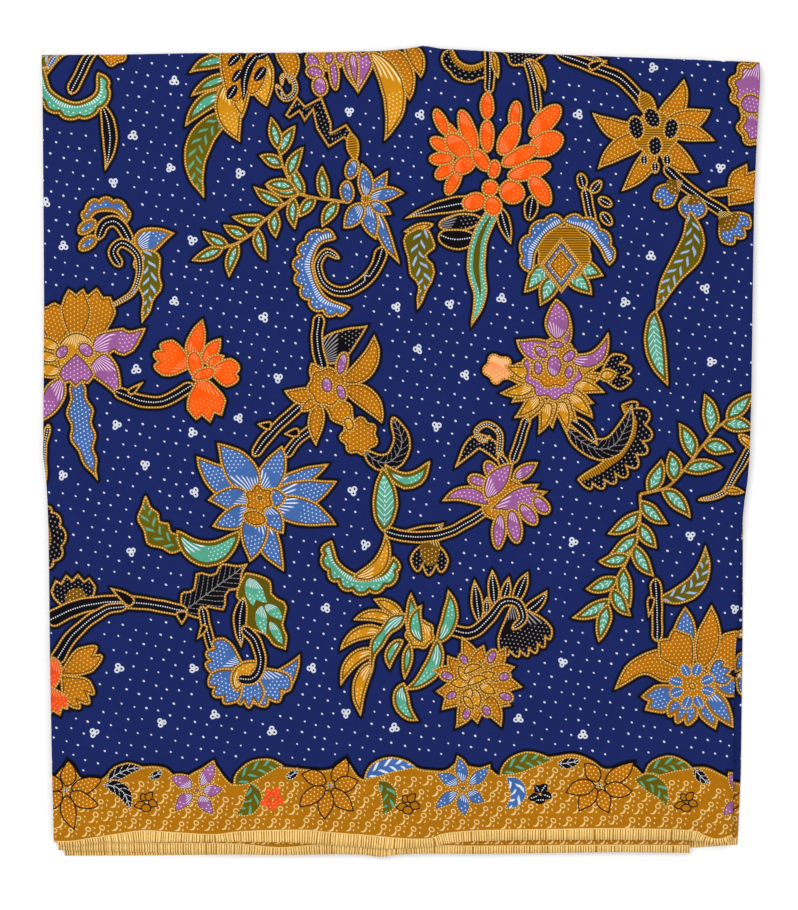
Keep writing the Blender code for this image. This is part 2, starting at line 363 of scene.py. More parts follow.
    def back_outline(self) -> Array:
        """Edge of the back panel, up to where the front has turned over the long fold.

        Returns:
            The corners, anticlockwise from the lower left.
        """
        y = np.linspace(-260, 258, 60)
        hem_x, top_x = np.linspace(-225.0, 226.4, 84), np.linspace(239.6, -239.0, 84)
        return self.ring(
            (hem_x, self.along(self.BACK_HEM, hem_x)), (self.side("back_right", y), y),
            (top_x, self.turn(top_x)[0] - self.layer_gap), (self.side("back_left", y), y),
        )


# Dyes, marks and plies of the print


class Dye(Enum):
    """The print's dyes, as sRGB from 0 to 255."""

    NAVY = (22, 34, 90)
    GLOW = (17, 24, 54)
    HALO = (9, 9, 15)
    WHITE = (226, 230, 242)
    CREAM = (250, 226, 168)
    WAX = (238, 200, 124)
    GOLD = (152, 102, 20)
    SOGA = (176, 106, 2)
    GILT = (186, 118, 8)
    AMBER = (200, 134, 16)
    BROWN = (110, 74, 8)
    OLIVE = (98, 86, 6)
    TEAL = (82, 162, 134)
    BLUE = (64, 102, 164)
    PALE_BLUE = (150, 182, 224)
    PURPLE = (150, 88, 146)
    PINK = (236, 200, 230)
    ORANGE = (250, 86, 8)
    PEACH = (252, 150, 92)
    RED = (228, 74, 26)
    BLACK = (12, 9, 14)
    ASH = (164, 158, 160)
    STRAW = (250, 212, 136)

    @property
    def linear(self) -> tuple[float, float, float, float]:
        """The dye as linear RGBA."""
        parts = [c / 255 for c in self.value]
        return (*(c / 12.92 if c <= 0.04045 else ((c + 0.055) / 1.055) ** 2.4 for c in parts), 1.0)


class Mark(IntEnum):
    """What is drawn inside a patch in its second colour."""

    PLAIN = 0
    BEADED = 1
    MIDLINE = 2
    SPECKLED = 3
    STROKED = 4
    VEINED = 5
    DASHED = 6
    HATCHED = 7
    GROUND = 8
    BARRED = 9
    RIBBED = 10
    FRINGED = 11


@dataclass(frozen=True)
class Coat:
    """One nested region of a shape.

    Attributes:
        inset: How far inside the shape's edge it begins, in millimetres.
        dye: Its colour.
        mark: What is drawn in it.
        ink: The colour of that mark.
    """

    inset: float
    dye: Dye
    mark: Mark = Mark.PLAIN
    ink: Dye = Dye.CREAM


EDGE = Coat(0, Dye.GOLD, Mark.BEADED, Dye.WAX)
SHADE = Coat(1.4, Dye.BROWN)
LINE = 2.2  # where the fill inside an outline and its shade begins


class Ply(Enum):
    """The ways a shape of the print is built up, from its edge inwards."""

    BLUE = (EDGE, SHADE, Coat(LINE, Dye.BLUE, Mark.STROKED, Dye.WHITE))
    BLUE_DOTS = (EDGE, SHADE, Coat(LINE, Dye.BLUE, Mark.SPECKLED, Dye.WHITE))
    BLUE_FRILL = (EDGE, SHADE, Coat(LINE, Dye.BLUE, Mark.FRINGED, Dye.WHITE))
    BLUE_RIM = (EDGE, Coat(1.4, Dye.GOLD), Coat(2.9, Dye.BLUE, Mark.STROKED, Dye.WHITE))
    TEAL = (EDGE, Coat(1.4, Dye.OLIVE), Coat(2.7, Dye.TEAL, Mark.STROKED, Dye.WHITE))
    LEAF = (EDGE, Coat(1.3, Dye.OLIVE), Coat(2.9, Dye.TEAL, Mark.VEINED, Dye.WHITE))
    MOSS = (EDGE, Coat(1.4, Dye.OLIVE))
    TEAL_BARE = (Coat(0, Dye.TEAL, Mark.STROKED, Dye.WHITE),)
    TEAL_RIM = (EDGE, Coat(1.4, Dye.OLIVE), Coat(3.3, Dye.TEAL, Mark.STROKED, Dye.WHITE))
    TEAL_FRILL = (EDGE, Coat(1.4, Dye.OLIVE), Coat(3.0, Dye.TEAL, Mark.FRINGED, Dye.WHITE))
    OLIVE = (EDGE, Coat(1.4, Dye.OLIVE, Mark.DASHED, Dye.PALE_BLUE))
    OLIVE_TEAL = (EDGE, Coat(1.4, Dye.OLIVE, Mark.DASHED, Dye.TEAL))
    RIBBON = (EDGE, Coat(1.4, Dye.TEAL, Mark.SPECKLED, Dye.WHITE), Coat(4.2, Dye.OLIVE))
    PURPLE = (EDGE, SHADE, Coat(LINE, Dye.PURPLE, Mark.STROKED, Dye.PINK))
    PURPLE_DOTS = (EDGE, SHADE, Coat(LINE, Dye.PURPLE, Mark.SPECKLED, Dye.PINK))
    ORANGE = (EDGE, Coat(1.4, Dye.RED), Coat(LINE, Dye.ORANGE, Mark.STROKED, Dye.PEACH))
    RED = (EDGE, Coat(1.5, Dye.RED, Mark.STROKED, Dye.PEACH))
    PEACH = (EDGE, Coat(1.5, Dye.PEACH, Mark.STROKED, Dye.CREAM))
    SOGA = (EDGE, Coat(1.5, Dye.BLACK), Coat(1.95, Dye.SOGA, Mark.SPECKLED, Dye.WAX))
    AMBER = (EDGE, SHADE, Coat(LINE, Dye.AMBER, Mark.STROKED, Dye.CREAM))
    BARRED = (EDGE, Coat(1.4, Dye.BROWN, Mark.BARRED, Dye.AMBER))
    BARS = (Coat(0, Dye.BROWN, Mark.BARRED, Dye.AMBER),)
    RAYS = (Coat(0, Dye.BROWN, Mark.STROKED, Dye.WAX),)
    STEM = (EDGE, Coat(1.3, Dye.BLACK, Mark.MIDLINE, Dye.WHITE))
    SPRIG = (EDGE,)
    INK = (EDGE, Coat(1.4, Dye.BLACK, Mark.SPECKLED, Dye.ASH))
    INK_LEAF = (EDGE, Coat(1.4, Dye.BLACK, Mark.RIBBED, Dye.ASH))
    INK_FAN = (EDGE, Coat(1.4, Dye.BLACK, Mark.STROKED, Dye.ASH))
    SPUR = (EDGE, Coat(1.3, Dye.BLACK))
    EYE = (Coat(0, Dye.BLACK), Coat(0.9, Dye.BLACK, Mark.MIDLINE, Dye.WHITE))
    BLUE_EYE = (EDGE, Coat(1.3, Dye.BLUE, Mark.MIDLINE, Dye.WHITE))
    ROSE = (Coat(0, Dye.BLACK), Coat(0.85, Dye.SOGA, Mark.SPECKLED, Dye.STRAW))
    ROSE_PURPLE = (EDGE, Coat(1.2, Dye.BROWN), Coat(1.7, Dye.PURPLE, Mark.STROKED, Dye.WHITE))
    ROSE_BLUE = (EDGE, Coat(1.2, Dye.BROWN), Coat(1.7, Dye.BLUE, Mark.STROKED, Dye.WHITE))
    ROSE_RED = (Coat(0, Dye.RED, Mark.SPECKLED, Dye.PEACH),)
    BORDER_LEAF = (EDGE, Coat(1.2, Dye.OLIVE, Mark.DASHED, Dye.TEAL))
    BORDER_BLUE = (EDGE, Coat(1.2, Dye.BLUE, Mark.DASHED, Dye.WHITE))
    BORDER_INK = (EDGE, Coat(1.1, Dye.BLACK, Mark.RIBBED, Dye.WHITE))
    KNOT = (Coat(0, Dye.BLACK), Coat(0.8, Dye.GILT))
    DOT = (Coat(0, Dye.WHITE),)
    RING = (Coat(0, Dye.WHITE), Coat(1.12, Dye.HALO))
    PALE_RING = (Coat(0, Dye.STRAW), Coat(0.7, Dye.GILT))
    PALE = (Coat(0, Dye.STRAW),)


class Form(Enum):
    """Width of a petal along its length, as the powers of the way from its base and to its tip."""

    LEAF = (0.75, 1.0)
    POINTED = (0.42, 1.05)
    OVAL = (0.5, 0.5)
    DROP = (0.95, 0.5)
    BLADE = (0.3, 1.0)
    CRESCENT = (0.85, 0.85)


@dataclass
class Patch:
    """One closed region of dye on the flat cloth, in millimetres.

    Attributes:
        rim: Its corners, anticlockwise.
        dye: Its colour.
        mark: What is drawn in it.
        ink: The colour of that mark.
        guide: The line that the mark follows.
        closed: Whether that line is a ring.
        reach: The length that the mark is fitted to.
    """

    rim: Array
    dye: Dye
    mark: Mark = Mark.PLAIN
    ink: Dye = Dye.CREAM
    guide: Array | None = None
    closed: bool = False
    reach: float = 20.0


# Lines and regions on the flat cloth


def anticlockwise(rim: Array) -> Array:
    """Turns a region's corners the right way round.

    Args:
        rim: The corners.

    Returns:
        The corners, anticlockwise.
    """
    x, y = rim[:, 0], rim[:, 1]
    area = (x * np.roll(y, -1) - y * np.roll(x, -1)).sum()
    return rim[::-1] if area < 0 else rim


def inset(rim: Array, distance: float) -> Array:
    """Moves a region's edge inwards, each corner along the middle of its edges' normals.

    Args:
        rim: The corners, anticlockwise.
        distance: How far, negative for outwards.

    Returns:
        The moved corners.
    """
    step = np.roll(rim, -1, axis=0) - rim
    step /= np.maximum(np.hypot(step[:, 0], step[:, 1]), 1e-9)[:, None]
    normal = np.stack([-step[:, 1], step[:, 0]], axis=1)
    both = normal + np.roll(normal, 1, axis=0)
    size = np.maximum(np.hypot(both[:, 0], both[:, 1]), 1e-6)
    limit = 3.2 if distance > 0 else 1.5
    return rim + both / size[:, None] * (distance * np.minimum(2 / size, limit))[:, None]


def smooth_path(points: Sequence[Spot], step: float) -> Array:
    """A smooth line through points.

    Between two points it is a cubic, and at each it heads from the point before to the one after.

    Args:
        points: The points, in order.
        step: The longest distance between the line's own points.

    Returns:
        The line's points.
    """
    p = np.asarray(points, float)
    if len(p) == 2:
        count = max(2, int(np.hypot(*(p[1] - p[0])) / step) + 1)
        return p[0] + np.linspace(0, 1, count)[:, None] * (p[1] - p[0])
    padded = np.concatenate([[2 * p[0] - p[1]], p, [2 * p[-1] - p[-2]]])
    runs = []
    for a, b, c, d in zip(padded, padded[1:], padded[2:], padded[3:]):
        count = max(2, int(np.hypot(*(c - b)) / step) + 1)
        t = np.linspace(0, 1, count, endpoint=False)[:, None]
        runs.append(
            0.5 * (2 * b + (c - a) * t + (2 * a - 5 * b + 4 * c - d) * t**2 + (3 * b - a - 3 * c + d) * t**3)
        )
    return np.concatenate([*runs, p[-1:]])


def arc_lengths(path: Array) -> Array:
    """How far along a line each of its points is, from 0 at the first."""
    return np.concatenate([[0], np.cumsum(np.hypot(*np.diff(path, axis=0).T))])


def at_shares(path: Array, t: Array) -> Array:
    """The points at shares of a line's length, from 0 at its start to 1 at its end."""
    gone = arc_lengths(path)
    return np.stack([np.interp(t * gone[-1], gone, path[:, k]) for k in (0, 1)], axis=1)


def spread(rim: Array, least: float) -> Array:
    """A region's corners without those that lie closer than a least distance to the one before."""
    return rim[np.hypot(*(rim - np.roll(rim, 1, axis=0)).T) > least]


def right_of(path: Array) -> Array:
    """Unit vectors to the right of a line's way, in print units with y down.

    Args:
        path: The line's points.

    Returns:
        One vector for each point.
    """
    way = np.gradient(path, axis=0)
    way /= np.maximum(np.hypot(way[:, 0], way[:, 1]), 1e-9)[:, None]
    return np.stack([-way[:, 1], way[:, 0]], axis=1)


def covers(rim: Array, x: Array, y: Array) -> Array:
    """Which points a region covers, going by how often its edge winds round them.

    Args:
        rim: The corners, anticlockwise.
        x: The points' x.
        y: The points' y.

    Returns:
        True for each point inside.
    """
    x0, y0 = rim[:, 0], rim[:, 1]
    x1, y1 = np.roll(x0, -1), np.roll(y0, -1)
    inside = np.empty(len(x), bool)
    for start in range(0, len(x), 8000):
        px, py = x[start : start + 8000, None], y[start : start + 8000, None]
        turn = (x1 - x0) * (py - y0) - (px - x0) * (y1 - y0)
        up = (y0 <= py) & (py < y1) & (turn > 0)
        down = (y1 <= py) & (py < y0) & (turn < 0)
        inside[start : start + 8000] = up.sum(1) > down.sum(1)
    return inside


def topmost(points: Array, patches: Sequence[Patch]) -> Array:
    """The last patch over each point.

    Args:
        points: The points, one row each.
        patches: The patches, lowest first.

    Returns:
        A patch's index for each point, or -1 on bare cloth.
    """
    order = np.argsort(points[:, 0])
    xs, ys = points[order, 0], points[order, 1]
    found = np.full(len(points), -1)
    for index, patch in enumerate(patches):
        low, high = patch.rim.min(0), patch.rim.max(0)
        first, last = np.searchsorted(xs, (low[0], high[0]))
        rows = first + np.flatnonzero((ys[first:last] >= low[1]) & (ys[first:last] <= high[1]))
        if len(rows):
            found[order[rows[covers(patch.rim, xs[rows], ys[rows])]]] = index
    return found


def run_along(points: Array, guide: Array, closed: bool) -> tuple[Array, float]:
    """Where points lie along and across a line, going by the nearest place on its stretches.

    Args:
        points: The points, one row each.
        guide: The line's points.
        closed: Whether the line is a ring.

    Returns:
        Distance along and signed distance across for each point, and the line's length.
    """
    start = guide
    end = np.roll(guide, -1, axis=0)
    if not closed:
        start, end = start[:-1], end[:-1]
    way = end - start
    length = np.maximum(np.hypot(way[:, 0], way[:, 1]), 1e-6)
    reached = np.concatenate([[0], np.cumsum(length)])
    off = points[:, None] - start
    t = (off * way).sum(2) / length**2
    if closed:
        t = np.clip(t, 0, 1)
    else:
        low = np.zeros(len(way))
        low[0] = -9.0
        high = np.ones(len(way))
        high[-1] = 9.0
        t = np.clip(t, low, high)
    near = off - t[:, :, None] * way
    distance = np.hypot(near[:, :, 0], near[:, :, 1])
    best = distance.argmin(1)
    row = np.arange(len(points))
    side = way[best, 0] * off[row, best, 1] - way[best, 1] * off[row, best, 0]
    along = reached[best] + t[row, best] * length[best]
    return np.stack([along, np.sign(side) * distance[row, best]], axis=1), float(reached[-1])


# Drawing the print


@dataclass
class Brush:
    """Draws shapes of the print, whose places and sizes are in print units.

    Attributes:
        glows: The dye's dim spread round shapes, lowest of all.
        halos: The dark rims round shapes, which lie under all of them.
        patches: The shapes' own regions, lowest first.
        rims: Whether shapes get a glow and a dark rim.
    """

    glows: list[Patch] = field(default_factory=list)
    halos: list[Patch] = field(default_factory=list)
    patches: list[Patch] = field(default_factory=list)
    rims: bool = True

    GLOW_WIDTH: ClassVar[float] = 2.0
    HALO_WIDTH: ClassVar[float] = 1.15
    BEAD_INSET: ClassVar[float] = 0.78
    LEAST_EDGE: ClassVar[float] = 0.25
    LEAST_TULIP_EDGE: ClassVar[float] = 0.3

    @property
    def bare(self) -> Brush:
        """The same brush, but for shapes that lie on others and have no dark rim."""
        return Brush(self.glows, self.halos, self.patches, False)

    @property
    def layers(self) -> list[Patch]:
        """Every patch, lowest first."""
        return [*self.glows, *self.halos, *self.patches]

    @staticmethod
    def by_hand(points: Array) -> Array:
        """Gives lines the slight unevenness of a hand-held pen, as sums of sines of the place.

        Args:
            points: Points on the flat cloth.

        Returns:
            The moved points.
        """
        x, y = points[:, 0], points[:, 1]
        dx = np.sin(x * 0.31 + y * 0.17) + 0.7 * np.sin(y * 0.53 - x * 0.11)
        dy = np.sin(y * 0.29 - x * 0.19) + 0.7 * np.sin(x * 0.47 + y * 0.13)
        return points + 0.17 * np.stack([dx, dy], axis=1)

    def lay(self, rim: Array, guide: Array, ply: Ply) -> None:
        """Lays one shape's coats.

        Args:
            rim: The shape's corners, in print units.
            guide: The line that marks follow, in print units.
            ply: How it is built up.
        """
        edge = anticlockwise(self.by_hand(to_plane(rim)))
        line = self.by_hand(to_plane(guide))
        reach = float(np.hypot(*np.diff(line, axis=0).T).sum())
        if self.rims:
            self.glows.append(Patch(inset(edge, -self.GLOW_WIDTH), Dye.GLOW))
            self.halos.append(Patch(inset(edge, -self.HALO_WIDTH), Dye.HALO))
        for coat in ply.value:
            ring = inset(edge, coat.inset)
            if coat.mark is Mark.BEADED:
                middle = inset(edge, coat.inset + self.BEAD_INSET)
                self.patches.append(Patch(ring, coat.dye, coat.mark, coat.ink, middle, True, reach))
            else:
                self.patches.append(Patch(ring, coat.dye, coat.mark, coat.ink, line, False, reach))

    def blade(self, spine: Array, right: Array, left: Array, ply: Ply) -> None:
        """Draws a shape with its own width to each side of a line.

        Args:
            spine: The line's points.
            right: Width to the line's right, at each point.
            left: Width to its left.
            ply: How it is built up.
        """
        side = right_of(spine)
        rim = np.concatenate([spine + side * right[:, None], (spine - side * left[:, None])[::-1]])
        self.lay(spread(rim, self.LEAST_EDGE), spine, ply)

    def swell(
        self, points: Sequence[Spot], width: float, ply: Ply, form: Form = Form.LEAF,
        waves: float = 0.0, depth: float = 0.22,
    ) -> None:
        """Draws a shape whose width along a smooth line goes with a power of the way from each end.

        Args:
            points: Points that the line passes.
            width: The greatest width.
            ply: How it is built up.
            form: How its width runs.
            waves: Lobes along each side.
            depth: How deep the lobes are, as a share of the width.
        """
        path = smooth_path(points, 2.0)
        count = int(np.clip(max(arc_lengths(path)[-1] / 5.2 + 5, waves * 8), 7, 44))
        t = (1 - np.cos(np.linspace(0, math.pi, count))) / 2
        p, q = form.value
        peak = (p / (p + q)) ** p * (q / (p + q)) ** q
        half = width / 2 * t**p * (1 - t) ** q / peak
        if waves:
            half *= 1 + depth * np.sin(2 * math.pi * waves * t - 1.2)
        self.blade(at_shares(path, t), half, half, ply)

    def petal(
        self, base: Spot, tip: Spot, width: float, ply: Ply, bend: float = 0.0,
        form: Form = Form.LEAF, waves: float = 0.0, depth: float = 0.22,
    ) -> None:
        """Draws a petal or a leaf along a straight line, or one that bows as a parabola.

        Args:
            base: Where it begins.
            tip: Where it ends.
            width: Its greatest width.
            ply: How it is built up.
            bend: How far its middle bows to the right, as a share of its length.
            form: How its width runs.
            waves: Lobes along each side.
            depth: How deep the lobes are, as a share of the width.
        """
        a, b = np.asarray(base, float), np.asarray(tip, float)
        run = b - a
        if bend:
            t = np.linspace(0, 1, 7)
            bow = np.array((-run[1], run[0])) * bend
            line = a + run * t[:, None] + bow * (4 * t * (1 - t))[:, None]
        else:
            line = np.array([a, b])
        self.swell(line, width, ply, form, waves, depth)

    def petals(self, ply: Ply, *rows: tuple[Spot, Spot, float, float]) -> None:
        """Draws petals that are built up alike."""
        for base, tip, width, bend in rows:
            self.petal(base, tip, width, ply, bend)

    def tulip(
        self, base: Spot, tip: Spot, width: float, ply: Ply, points: int,
        notch: float, rounded: bool = False,
    ) -> None:
        """Draws a petal that widens as a sine from its base and ends in several points or lobes.

        Args:
            base: Where it begins.
            tip: Its farthest reach.
            width: Its greatest width.
            ply: How it is built up.
            points: How many points it ends in.
            notch: How deep the notches are, as a share of its length.
            rounded: Whether the points are round lobes.
        """
        a, run = np.asarray(base, float), np.subtract(tip, base)
        across = np.array((-run[1], run[0])) / np.hypot(*run)
        s = np.linspace(1, -1, points * (6 if rounded else 4) + 1)
        turn = points * (s + 1) / 2
        wave = np.abs(np.sin(math.pi * turn)) ** 0.7 if rounded else 1 - np.abs(2 * (turn % 1) - 1)
        reach = (1 - notch) * (1 - 0.24 * s**2) + notch * wave
        side = np.linspace(0.0, 0.93, 6)
        shoulder = (1 - notch) * 0.76 * side
        swing = np.sin(side * math.pi / 2) ** 1.15
        along = np.concatenate([shoulder, reach, shoulder[::-1]])
        out = np.concatenate([swing, s, -swing[::-1]])
        rim = a + run * along[:, None] + across * (out * width / 2)[:, None]
        self.lay(spread(rim, self.LEAST_TULIP_EDGE), np.array([a, a + run]), ply)

    def cloud(self, centre: Spot, radius: float, lobes: int, ply: Ply, depth: float = 0.16) -> None:
        """Draws a circle whose radius swells by a sine's size at each scallop.

        Args:
            centre: Its middle.
            radius: Its radius.
            lobes: How many scallops.
            ply: How it is built up.
            depth: How deep they are, as a share of the radius.
        """
        turn = np.linspace(0, 2 * math.pi, lobes * 6, endpoint=False)
        far = radius * (1 - depth + depth * np.abs(np.sin(turn * lobes / 2 + 0.3)) * 1.4)
        rim = np.asarray(centre) + np.stack([np.cos(turn), np.sin(turn)], axis=1) * far[:, None]
        guide = np.asarray(centre) + np.array([(0, -radius), (0, radius)])
        self.lay(rim, guide, ply)

    def pin(self, centre: Spot, long: float, wide: float, turn: float, ply: Ply) -> None:
        """Draws a dot with six corners, at equal angles round an ellipse.

        Args:
            centre: Its middle.
            long: Its length.
            wide: Its width.
            turn: Degrees from rightwards to its length, clockwise.
            ply: How it is built up.
        """
        way = math.radians(turn)
        angle = np.linspace(0, 2 * math.pi, 6, endpoint=False)
        x, y = long / 2 * np.cos(angle), wide / 2 * np.sin(angle)
        rim = np.stack([x * math.cos(way) - y * math.sin(way), x * math.sin(way) + y * math.cos(way)], axis=1)
        rim += centre
        self.bare.lay(rim, rim[[0, 3]], ply)

    def disc(self, centre: Spot, width: float, height: float, ply: Ply, turn: float = 0.0) -> None:
        """Draws an oval, whose width goes with the roots of the way from and to its ends.

        Args:
            centre: Its middle.
            width: Its size along its own axis.
            height: Its size across that axis.
            ply: How it is built up.
            turn: Degrees from rightwards to its axis, clockwise.
        """
        way = np.array((math.cos(math.radians(turn)), math.sin(math.radians(turn)))) * width / 2
        c = np.asarray(centre, float)
        self.petal(tuple(c - way), tuple(c + way), height, ply, form=Form.OVAL)

    def discs(self, ply: Ply, *rows: tuple[float, float, float, float, float]) -> None:
        """Draws ovals that are built up alike."""
        for x, y, width, height, turn in rows:
            self.disc((x, y), width, height, ply, turn)

    def bloom(
        self, centre: Spot, reach: float, count: int, width: float, ply: Ply, start: float, sweep: float,
        form: Form, hole: float, lengths: Sequence[float] = (1.0,), bend: float = 0.06,
    ) -> None:
        """Draws petals round a middle, at equal angles.

        Args:
            centre: The middle.
            reach: From the middle to the tips.
            count: How many petals.
            width: Each petal's width.
            ply: How a petal is built up.
            start: Degrees of the first petal, clockwise from rightwards.
            sweep: Degrees that the petals share.
            form: How a petal's width runs.
            hole: Where a petal begins, as a share of its reach.
            lengths: Each petal's share of the reach, in turn.
            bend: How far petals bow, to one side and the other in turn.
        """
        steps = count if sweep >= 360 else max(count - 1, 1)
        for i in range(count):
            angle = math.radians(start + sweep * i / steps)
            way = np.array((math.cos(angle), math.sin(angle)))
            far = reach * lengths[i % len(lengths)]
            base, tip = centre + way * far * hole, centre + way * far
            bow = bend if i % 2 else -bend
            self.petal(tuple(base), tuple(tip), width, ply, bow, form)

    def stem(
        self, points: Sequence[Spot], width: float, ply: Ply = Ply.STEM, end_width: float | None = None
    ) -> None:
        """Draws a stem along a smooth line, with a width that changes evenly and tapers at its ends.

        Args:
            points: Points that it passes.
            width: Its width where it begins.
            ply: How it is built up.
            end_width: Its width where it ends, or None for the same.
        """
        path = smooth_path(points, 4.0)
        t = np.linspace(0, 1, len(path))
        half = (width + ((width if end_width is None else end_width) - width) * t) / 2
        half *= np.minimum(1, np.minimum(t, 1 - t) * len(path) / 2.0 + 0.3)
        self.blade(path, half, half, ply)

    def thorns(self, roots: Sequence[tuple[Spot, Spot]], width: float = 8.0) -> None:
        """Draws the short spurs of a stem."""
        for base, tip in roots:
            self.petal(base, tip, width, Ply.SPUR, form=Form.BLADE)

    def frill(
        self, points: Sequence[Spot], width: float, ply: Ply, lobes: int,
        inner: Ply | None = None, depth: float = 0.18,
    ) -> None:
        """Draws a crescent whose outer width follows a sine's size from scallop to scallop.

        Args:
            points: Points along its inner edge, with the scallops to the right of their way.
            width: Its greatest width.
            ply: How it is built up.
            lobes: Scallops on its outer edge.
            inner: How a band on its inner edge is built up, if it has one.
            depth: How deep the scallops are.
        """
        t = np.linspace(0, 1, lobes * 7 + 1)
        spine = at_shares(smooth_path(points, 2.0), t)
        body = (4 * t * (1 - t)) ** 0.34
        scallop = 1 - depth + depth * np.abs(np.sin(math.pi * lobes * t)) ** 0.7
        near = width * 0.12 * body
        self.blade(spine, width * 0.88 * body * scallop, near, ply)
        if inner:
            self.bare.blade(spine[2:-2], (width * 0.22 * body)[2:-2], near[2:-2] - 1.9, inner)

    def fern(
        self, points: Sequence[Spot], pairs: int, length: float, width: float, splay: float = 48.0
    ) -> None:
        """Draws a thin stem with a leaf to each side in turn and one at its end.

        Args:
            points: Points that the stem passes.
            pairs: How many pairs of leaves.
            length: A leaf's length.
            width: A leaf's width.
            splay: Degrees between a leaf and the stem.
        """
        path = smooth_path(points, 3.0)
        t = np.linspace(0, 1, len(path))
        self.blade(path, np.full(len(path), 1.5), np.full(len(path), 1.5), Ply.SPRIG)
        way = np.gradient(path, axis=0)
        for i in range(2 * pairs):
            at = (i + 0.5) / (2 * pairs)
            place = np.array([np.interp(at, t, path[:, 0]), np.interp(at, t, path[:, 1])])
            heading = math.atan2(np.interp(at, t, way[:, 1]), np.interp(at, t, way[:, 0]))
            hand = 1 if i % 2 else -1
            angle = heading + hand * math.radians(splay + 9 * math.sin(i * 1.7))
            size = length * (0.92 + 0.14 * math.sin(i * 2.3))
            tip = place + size * np.array((math.cos(angle), math.sin(angle)))
            self.petal(tuple(place), tuple(tip), width, Ply.LEAF, bend=-0.07 * hand)
        end = path[-1] - path[-3]
        end = end / np.hypot(*end) * length
        self.petal(tuple(path[-1]), tuple(path[-1] + end), width, Ply.LEAF)


def top_left_curl(b: Brush) -> None:
    """Teal curl with a black stem and spike, at the top left corner.

    Args:
        b: The brush.
    """
    b.petal((36, 84), (72, 48), 17, Ply.OLIVE, -0.15)
    b.petal((46, 70), (60, 50), 9, Ply.BLUE_EYE)
    b.stem([(93, 48), (82, 70), (70, 94)], 12)
    b.petal((101, 102), (105, 171), 16, Ply.STEM, -0.1)
    b.frill([(43, 66), (51, 92), (76, 104), (96, 94), (98, 72)], 20, Ply.TEAL_FRILL, 7)
    b.cloud((113, 52), 14, 5, Ply.SOGA)


def crest_flower(b: Brush) -> None:
    """Gold crested flower with teal side leaves and a long olive leaf.

    Args:
        b: The brush.
    """
    b.petal((232, 112), (204, 198), 26, Ply.OLIVE_TEAL, 0.24)
    b.petals(
        Ply.TEAL_RIM, ((232, 92), (185, 127), 18, 0.12), ((236, 78), (191, 97), 15, 0.1),
        ((236, 62), (189, 73), 15, 0.12), ((204, 46), (240, 58), 15, 0.0),
    )
    b.petals(
        Ply.AMBER, ((262, 50), (267, 107), 28, 0.06), ((230, 80), (240, 142), 28, 0.1),
        ((246, 74), (243, 118), 20, 0.1),
    )
    b.petal((274, 44), (289, 84), 22, Ply.SOGA, -0.2)
    b.petal((224, 44), (236, 104), 26, Ply.SOGA, -0.06, Form.OVAL)
    b.petal((256, 42), (250, 96), 26, Ply.SOGA, -0.05, Form.OVAL)
    b.bare.swell([(262, 50), (247, 70), (243, 103)], 10, Ply.EYE)
    b.bare.discs(
        Ply.EYE, (234, 60, 16, 9, -45), (237, 76, 15, 8, -50), (232, 92, 17, 9, -60), (260, 74, 17, 10, -55),
        (262, 55, 13, 8, -30),
    )
    b.stem([(276, 84), (285, 99), (295, 92), (292, 78), (283, 76), (282, 86)], 8, Ply.STEM, 5)


def top_purple(b: Brush) -> None:
    """Purple lobes and long gold blades that hang from the top edge.

    Args:
        b: The brush.
    """
    b.petal((404, 42), (421, 79), 18, Ply.SOGA, -0.1)
    b.petal((380, 46), (410, 101), 24, Ply.SOGA, -0.12)
    b.petal((368, 50), (384, 141), 25, Ply.AMBER, -0.2)
    b.cloud((328, 50), 21, 9, Ply.SOGA)
    b.discs(
        Ply.PURPLE_DOTS, (313, 62, 22, 16, 60), (315, 72, 20, 16, 20), (334, 74, 34, 12, 84),
        (329, 58, 18, 13, 90), (340, 58, 18, 12, 70),
    )
    b.disc((320, 86), 22, 17, Ply.PURPLE, 80)
    b.tulip((358, 94), (357, 44), 32, Ply.PURPLE, 3, 0.16)
    b.petal((352, 52), (357, 92), 13, Ply.PURPLE, form=Form.POINTED)


def left_fern(b: Brush) -> None:
    """Leafy spray and an angular ribbon, between the crest flower and the blue star.

    Args:
        b: The brush.
    """
    ribbon = [(287, 117), (298, 104), (305, 114), (317, 104), (324, 126), (330, 140), (345, 131), (354, 143)]
    half = np.array((3, 8, 8.5, 9, 8.5, 8, 7, 4))
    b.blade(np.array(ribbon, float), half, half, Ply.INK)
    b.fern([(345, 202), (322, 199), (299, 194)], 2, 34, 14, splay=64)
    b.fern([(299, 194), (285, 172), (279, 150)], 2, 34, 14)
    b.fern([(299, 194), (272, 214), (246, 238), (224, 248)], 4, 35, 13, splay=56)


def blue_star(b: Brush) -> None:
    """Blue flower of pointed and oval petals.

    Args:
        b: The brush.
    """
    b.petal((350, 132), (356, 163), 13, Ply.BARRED)
    b.petal((376, 205), (400, 264), 15, Ply.BLUE, 0.06)
    b.petals(
        Ply.BLUE, ((364, 200), (388, 171), 16, 0.05), ((366, 200), (405, 193), 17, -0.06),
        ((368, 202), (376, 240), 19, 0.05), ((362, 202), (343, 229), 20, -0.05),
        ((366, 200), (362, 163), 17, 0.04), ((368, 202), (392, 214), 14, 0.0),
    )
    b.discs(Ply.BLUE, (347, 192, 24, 15, 84), (352, 169, 23, 15, 110))
    b.bare.disc((366, 199), 11, 10, Ply.BARRED, 0)


def spiral_frill(b: Brush) -> None:
    """Blue scalloped crescent round a black spiral.

    Args:
        b: The brush.
    """
    b.petal((320, 358), (368, 325), 30, Ply.INK_FAN, 0.0, Form.POINTED)
    b.stem([(320, 314), (317, 342), (324, 374)], 13)
    b.frill([(337, 238), (318, 245), (311, 270), (324, 297), (351, 308)], 22, Ply.BLUE_FRILL, 9, depth=0.24)
    b.stem(
        [(383, 246), (376, 267), (360, 285), (340, 292), (324, 283), (318, 266), (326, 252), (340, 259)],
        14, end_width=8,
    )


